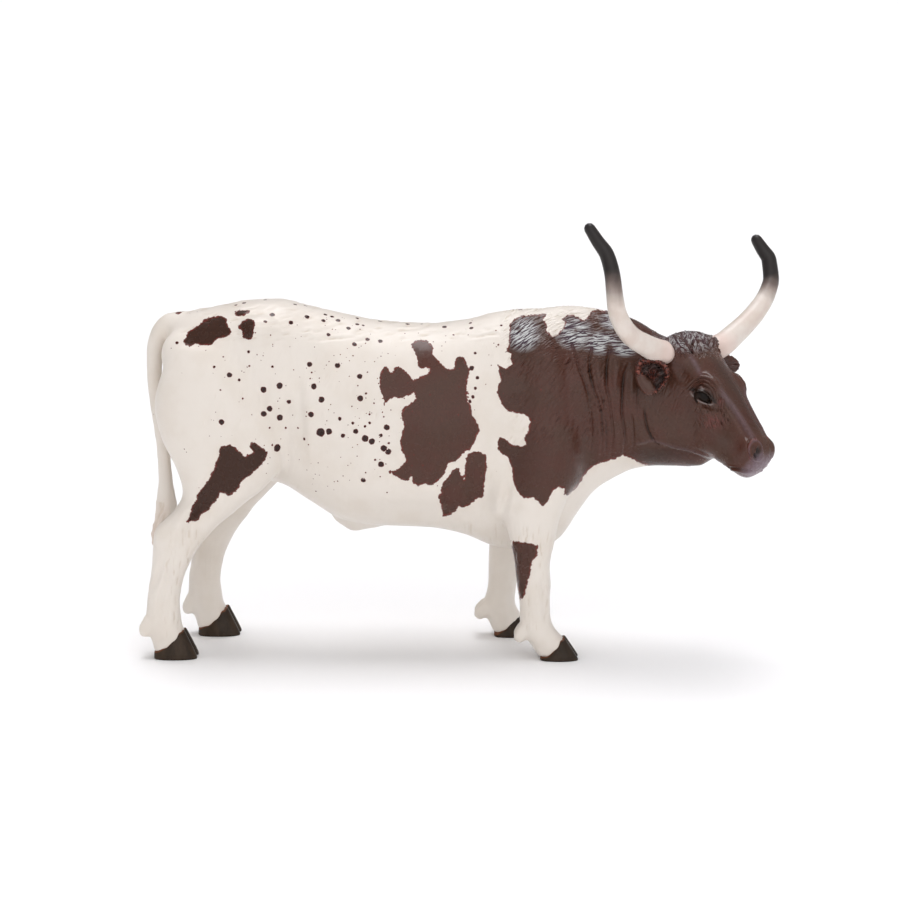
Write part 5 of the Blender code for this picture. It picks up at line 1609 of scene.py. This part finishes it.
def brown_coat(m, carved, strands, rim):
    """Brown with a painted silver highlight and lavender sheen over its strokes, painted shade in its
    grooves, the face's tints with painted highlights and painted shade, and a reddish edge.
    """
    brown = m.mix(m.between(m.noise(0.15, 3), 0.35, 0.65), BROWN, BROWN_RED)
    along = m.add("SeparateXYZ", {"Vector": m.place()}).outputs["X"]
    brown = m.mix(m.between(along, -0.028, -0.038), brown, BROWN_REAR)
    shoulder = m.times(m.between(along, 0.004, 0.009), m.between(along, 0.023, 0.012, 0.0, 0.45))
    brown = m.mix(m.times(shoulder, m.between(m.noise(0.07, 3), 0.3, 0.6, 0.4, 1.0)), brown, BROWN_REAR)
    # painted highlight over the shoulders' and poll's strokes, broken up by noise
    silver_highlight = m.times(m.attribute("silver_highlight"), m.between(m.noise(0.22, 3), 0.25, 0.45))
    ridge = m.times(m.between(strands, 0.38, 0.52), m.between(carved, -0.06, -0.01))
    patchy = m.between(m.noise(0.9, 3), 0.35, 0.65)
    # breaks up the painted highlights on the face
    highlight_breakup = m.between(m.noise(1.2, 3), 0.2, 0.6, 0.4, 0.9)
    for share, colour in (
        # painted lavender sheen, then a painted silver highlight on the strands' ridges
        (m.times(silver_highlight, 0.55), SHEEN_LAVENDER),
        (m.times(silver_highlight, ridge), HIGHLIGHT_SILVER),
        # painted shade in the carved grooves
        (m.times(m.between(carved, -0.16, -0.7), 0.85), SHADE_BROWN),
        (m.times(m.attribute("reddish"), patchy), BLUSH),
        # painted highlights and reflection on the face
        (m.times(m.attribute("pale"), highlight_breakup), FACE_HIGHLIGHT),
        (m.attribute("lid"), LID_GREY),
        # painted shade on the face and under the throat
        (m.attribute("painted_shade"), SHADE_BROWN),
        (m.times(rim, 1.5, clamp=True), RIM),
    ):
        brown = m.mix(share, brown, colour)
    return brown


def hide_paint():
    m = Material("painted hide", IOR=1.5, Specular_IOR_Level=0.3)
    carved = m.attribute("carved")
    stretched = {0: m.attribute("strand", "Vector"), 1: Vector((0.35, 2.9, 1))}
    strand = m.add("VectorMath", stretched, operation="MULTIPLY").outputs[0]
    inputs = {"Vector": strand, "Scale": 1.0, "Detail": 2.0, "Distortion": 0.4}
    strands = m.add("TexNoise", inputs).outputs["Fac"]

    jag = m.uneven(1.3, 3, roughness=0.6)
    inside = m.math("ADD", m.attribute("brown"), m.times(jag, 1.1))
    inside = m.math("ADD", inside, m.times(m.uneven(0.45, 2), 0.8))
    brown_share = m.between(inside, -0.07, 0.07)
    rim = m.times(m.between(inside, 0.42, 0.12), m.noise(0.8, 2), clamp=True)
    colour = m.mix(brown_share, white_coat(m, carved), brown_coat(m, carved, strands, rim))

    away = m.add("VectorMath", {0: m.place(), 1: m.attribute("spot_place", "Vector")}, operation="DISTANCE")
    inward = m.math("SUBTRACT", m.attribute("spot_radius"), m.math("DIVIDE", away.outputs["Value"], MM))
    inward = m.math("ADD", inward, m.times(jag, 0.5))
    spot_share = m.between(inward, -0.03, 0.05)
    m.set("Base Color", m.mix(spot_share, colour, m.mix(m.between(inward, 0.22, 0.06), SPOT, RIM)))

    dark_paint = m.math("MAXIMUM", brown_share, spot_share)
    rough = m.between(m.noise(0.5, 4), 0.3, 0.7, 0.30, 0.42)
    m.set("Roughness", m.math("SUBTRACT", rough, m.times(dark_paint, 0.1)))
    grain = m.bump(m.noise(1.6, 4, 0.6), 0.03, 0.6)
    hair = m.bump(m.times(strands, m.attribute("combing")), 0.12, 0.8, grain)
    m.set("Normal", m.bump(dark_paint, 0.05, 0.6, hair))
    return m.made


def horn_paint():
    m = Material("painted horn", IOR=1.5, Specular_IOR_Level=0.35)
    wave = m.uneven(0.25, 3, roughness=0.5, stretch=(1, 1, 0.25))
    along = m.math("ADD", m.attribute("along"), m.times(wave, 0.12))
    cream = m.mix(m.between(m.noise(0.2, 4), 0.35, 0.7), HORN_CREAM, HORN_TAN)
    blushed = m.mix(m.between(along, 0.16, 0.0, 0.0, 0.6), cream, HORN_BLUSH)
    shaded = m.mix(m.between(along, 0.5, 0.66), blushed, HORN_GREY)
    m.set("Base Color", m.mix(m.between(along, 0.58, 0.74), shaded, HORN_TIP))
    m.set("Roughness", m.between(m.noise(0.6, 3), 0.3, 0.7, 0.28, 0.4))
    m.set("Normal", m.bump(m.noise(1.1, 4, 0.6, (1, 1, 0.2)), 0.06, 0.5))
    return m.made


def ear_paint():
    m = Material("painted ear", IOR=1.5, Specular_IOR_Level=0.35)
    base = m.mix(m.between(m.noise(0.3, 3), 0.35, 0.65), BROWN, BROWN_RED)
    grey = m.mix(m.between(m.noise(1.3, 3), 0.4, 0.6), EAR_HOLLOW, EAR_HOLLOW_LIGHT)
    hollow = m.mix(m.attribute("inner"), base, grey)
    fur = m.mix(m.between(m.noise(1.5, 3), 0.45, 0.62), EAR_FUR, EAR_FUR_LIGHT)
    m.set("Base Color", m.mix(m.attribute("edge"), hollow, fur))
    m.set("Roughness", m.between(m.noise(0.8, 3), 0.3, 0.7, 0.28, 0.42))
    m.set("Normal", m.bump(m.noise(1.5, 3), 0.06, 0.6))
    return m.made


def eye_paint():
    m = Material("painted eye", IOR=1.5, Specular_IOR_Level=0.12)
    m.set("Base Color", m.mix(m.between(m.noise(0.35, 2), 0.4, 0.65), EYE_DARK, EYE_BROWN))
    m.set("Roughness", m.between(m.noise(0.6, 2), 0.3, 0.7, 0.08, 0.16))
    return m.made


def hoof_paint():
    m = Material("painted hoof", IOR=1.5, Specular_IOR_Level=0.25)
    base = m.mix(m.between(m.noise(0.4, 4, 0.6, (1, 1, 0.3)), 0.35, 0.7), HOOF_DARK, HOOF_LIGHT)
    top = m.math("SUBTRACT", m.attribute("below"), m.times(m.noise(0.6, 2), 0.5))
    m.set("Base Color", m.mix(m.between(top, 0.3, -0.1, 0.0, 0.8), base, HOOF_EDGE))
    m.set("Roughness", m.between(m.noise(0.8, 3), 0.3, 0.7, 0.30, 0.5))
    m.set("Normal", m.bump(m.noise(0.7, 4, 0.6, (1, 1, 0.25)), 0.12, 0.6))
    return m.made


def floor_paint():
    m = Material("pale floor", Roughness=0.7)
    m.set("Base Color", m.mix(m.noise(0.004, 2), FLOOR_GREY, FLOOR_PALE))
    return m.made


# Stage

def camera():
    data = bpy.data.cameras.new("camera")
    data.sensor_width = SENSOR
    data.lens = SENSOR * CAMERA_DISTANCE * PIXELS_PER_MM / PICTURE
    to_middle = (PICTURE / 2 - AIM_PIXEL[0], AIM_PIXEL[1] - PICTURE / 2)
    target = AIM + (VIEW_RIGHT * to_middle[0] + VIEW_UP * to_middle[1]) / PIXELS_PER_MM + TO_ORIGIN
    place = AIM + VIEW_BACK * CAMERA_DISTANCE + TO_ORIGIN
    obj = bpy.data.objects.new("camera", data)
    bpy.context.scene.collection.objects.link(obj)
    obj.location = Vector(place * MM)
    obj.rotation_mode = "QUATERNION"
    obj.rotation_quaternion = Vector(target - place).to_track_quat("-Z", "Y")
    data.clip_start, data.clip_end = 0.01, 10.0  # metres
    bpy.context.scene.camera = obj


FLOOR_HALF = 30.0  # metres
AMBIENT = 0.62  # of the world, level with the bull and across the view
AMBIENT_SLOPE = (0.1, -0.36, 0.0)  # how much more comes from the right, and from behind the camera
STRIP_WAY = (0.05, 0.24, 0.97)  # a long light overhead, which runs from front to back
STRIP_END = (0.91, 0.945)  # cosines of how far it reaches from its middle
STRIP_SIDE = (0.23, 0.15)  # how far to the right and left
STRIP_LIGHT = 6.0
WORLD_COLOUR = (0.99, 0.98, 1, 1)
FILL_WAY = (-0.15, 0.85, -0.5)  # a weak, wide light from the camera's side
FILL_LIGHT = 0.4
FILL_WIDTH = math.radians(60)


def pale_floor():
    corners = np.array([(-1, -1, 0), (1, -1, 0), (1, 1, 0), (-1, 1, 0)]) * FLOOR_HALF / MM
    floor = object_of("floor", mesh_of("floor", corners, [(0, 1, 2, 3)]))
    floor.data.materials.append(floor_paint())


def studio():
    """A world that is a little brighter to the right and behind the camera, with a strip light overhead."""
    world = bpy.data.worlds.new("studio")
    world.use_nodes = True
    n = Nodes(world.node_tree)
    way = n.add("TexCoord").outputs["Generated"]
    slope, towards = (
        n.add("VectorMath", {0: way, 1: direction}, operation="DOT_PRODUCT").outputs["Value"]
        for direction in (AMBIENT_SLOPE, STRIP_WAY)
    )
    beside = n.math("ABSOLUTE", n.add("SeparateXYZ", {0: way}).outputs["X"])
    strip = n.times(n.between(towards, *STRIP_END, 0.0, STRIP_LIGHT), n.between(beside, *STRIP_SIDE))
    background = n.nodes["Background"]
    n.put(n.math("ADD", n.math("ADD", slope, AMBIENT), strip), background.inputs["Strength"])
    n.put(WORLD_COLOUR, background.inputs["Color"])
    bpy.context.scene.world = world
    bpy.context.scene.view_settings.view_transform = "Standard"


def fill_light():
    data = bpy.data.lights.new("fill", "SUN")
    data.energy = FILL_LIGHT
    data.angle = FILL_WIDTH
    fill = bpy.data.objects.new("fill", data)
    fill.rotation_mode = "QUATERNION"
    fill.rotation_quaternion = Vector(FILL_WAY).to_track_quat("-Z", "Y")
    bpy.context.scene.collection.objects.link(fill)


# Putting it together

def put(obj, material, *nodes):
    obj.data.materials.clear()
    obj.data.materials.append(material)
    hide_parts(*nodes)
    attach(obj, "root")


def main():
    camera()
    pale_floor()
    studio()
    fill_light()
    flesh_nodes = ["torso", "head", "neck", "tail", "tail_switch"]
    flesh_nodes += [f"leg_{place}_{word}" for place in ("hind", "front") for _, word in SIDES]
    put(skin(), hide_paint(), *flesh_nodes)
    horny, leafy, glossy, clawed = horn_paint(), ear_paint(), eye_paint(), hoof_paint()
    for side, word in SIDES:
        put(horn(side, word), horny, f"horn_{word}")
        put(right_ear() if side == RIGHT else left_ear(), leafy, f"ear_{word}")
        put(eye(side, word), glossy, f"eye_{word}")
    for foot in feet():
        put(hoof(*foot), clawed, f"hoof_{foot[3]}")


main()
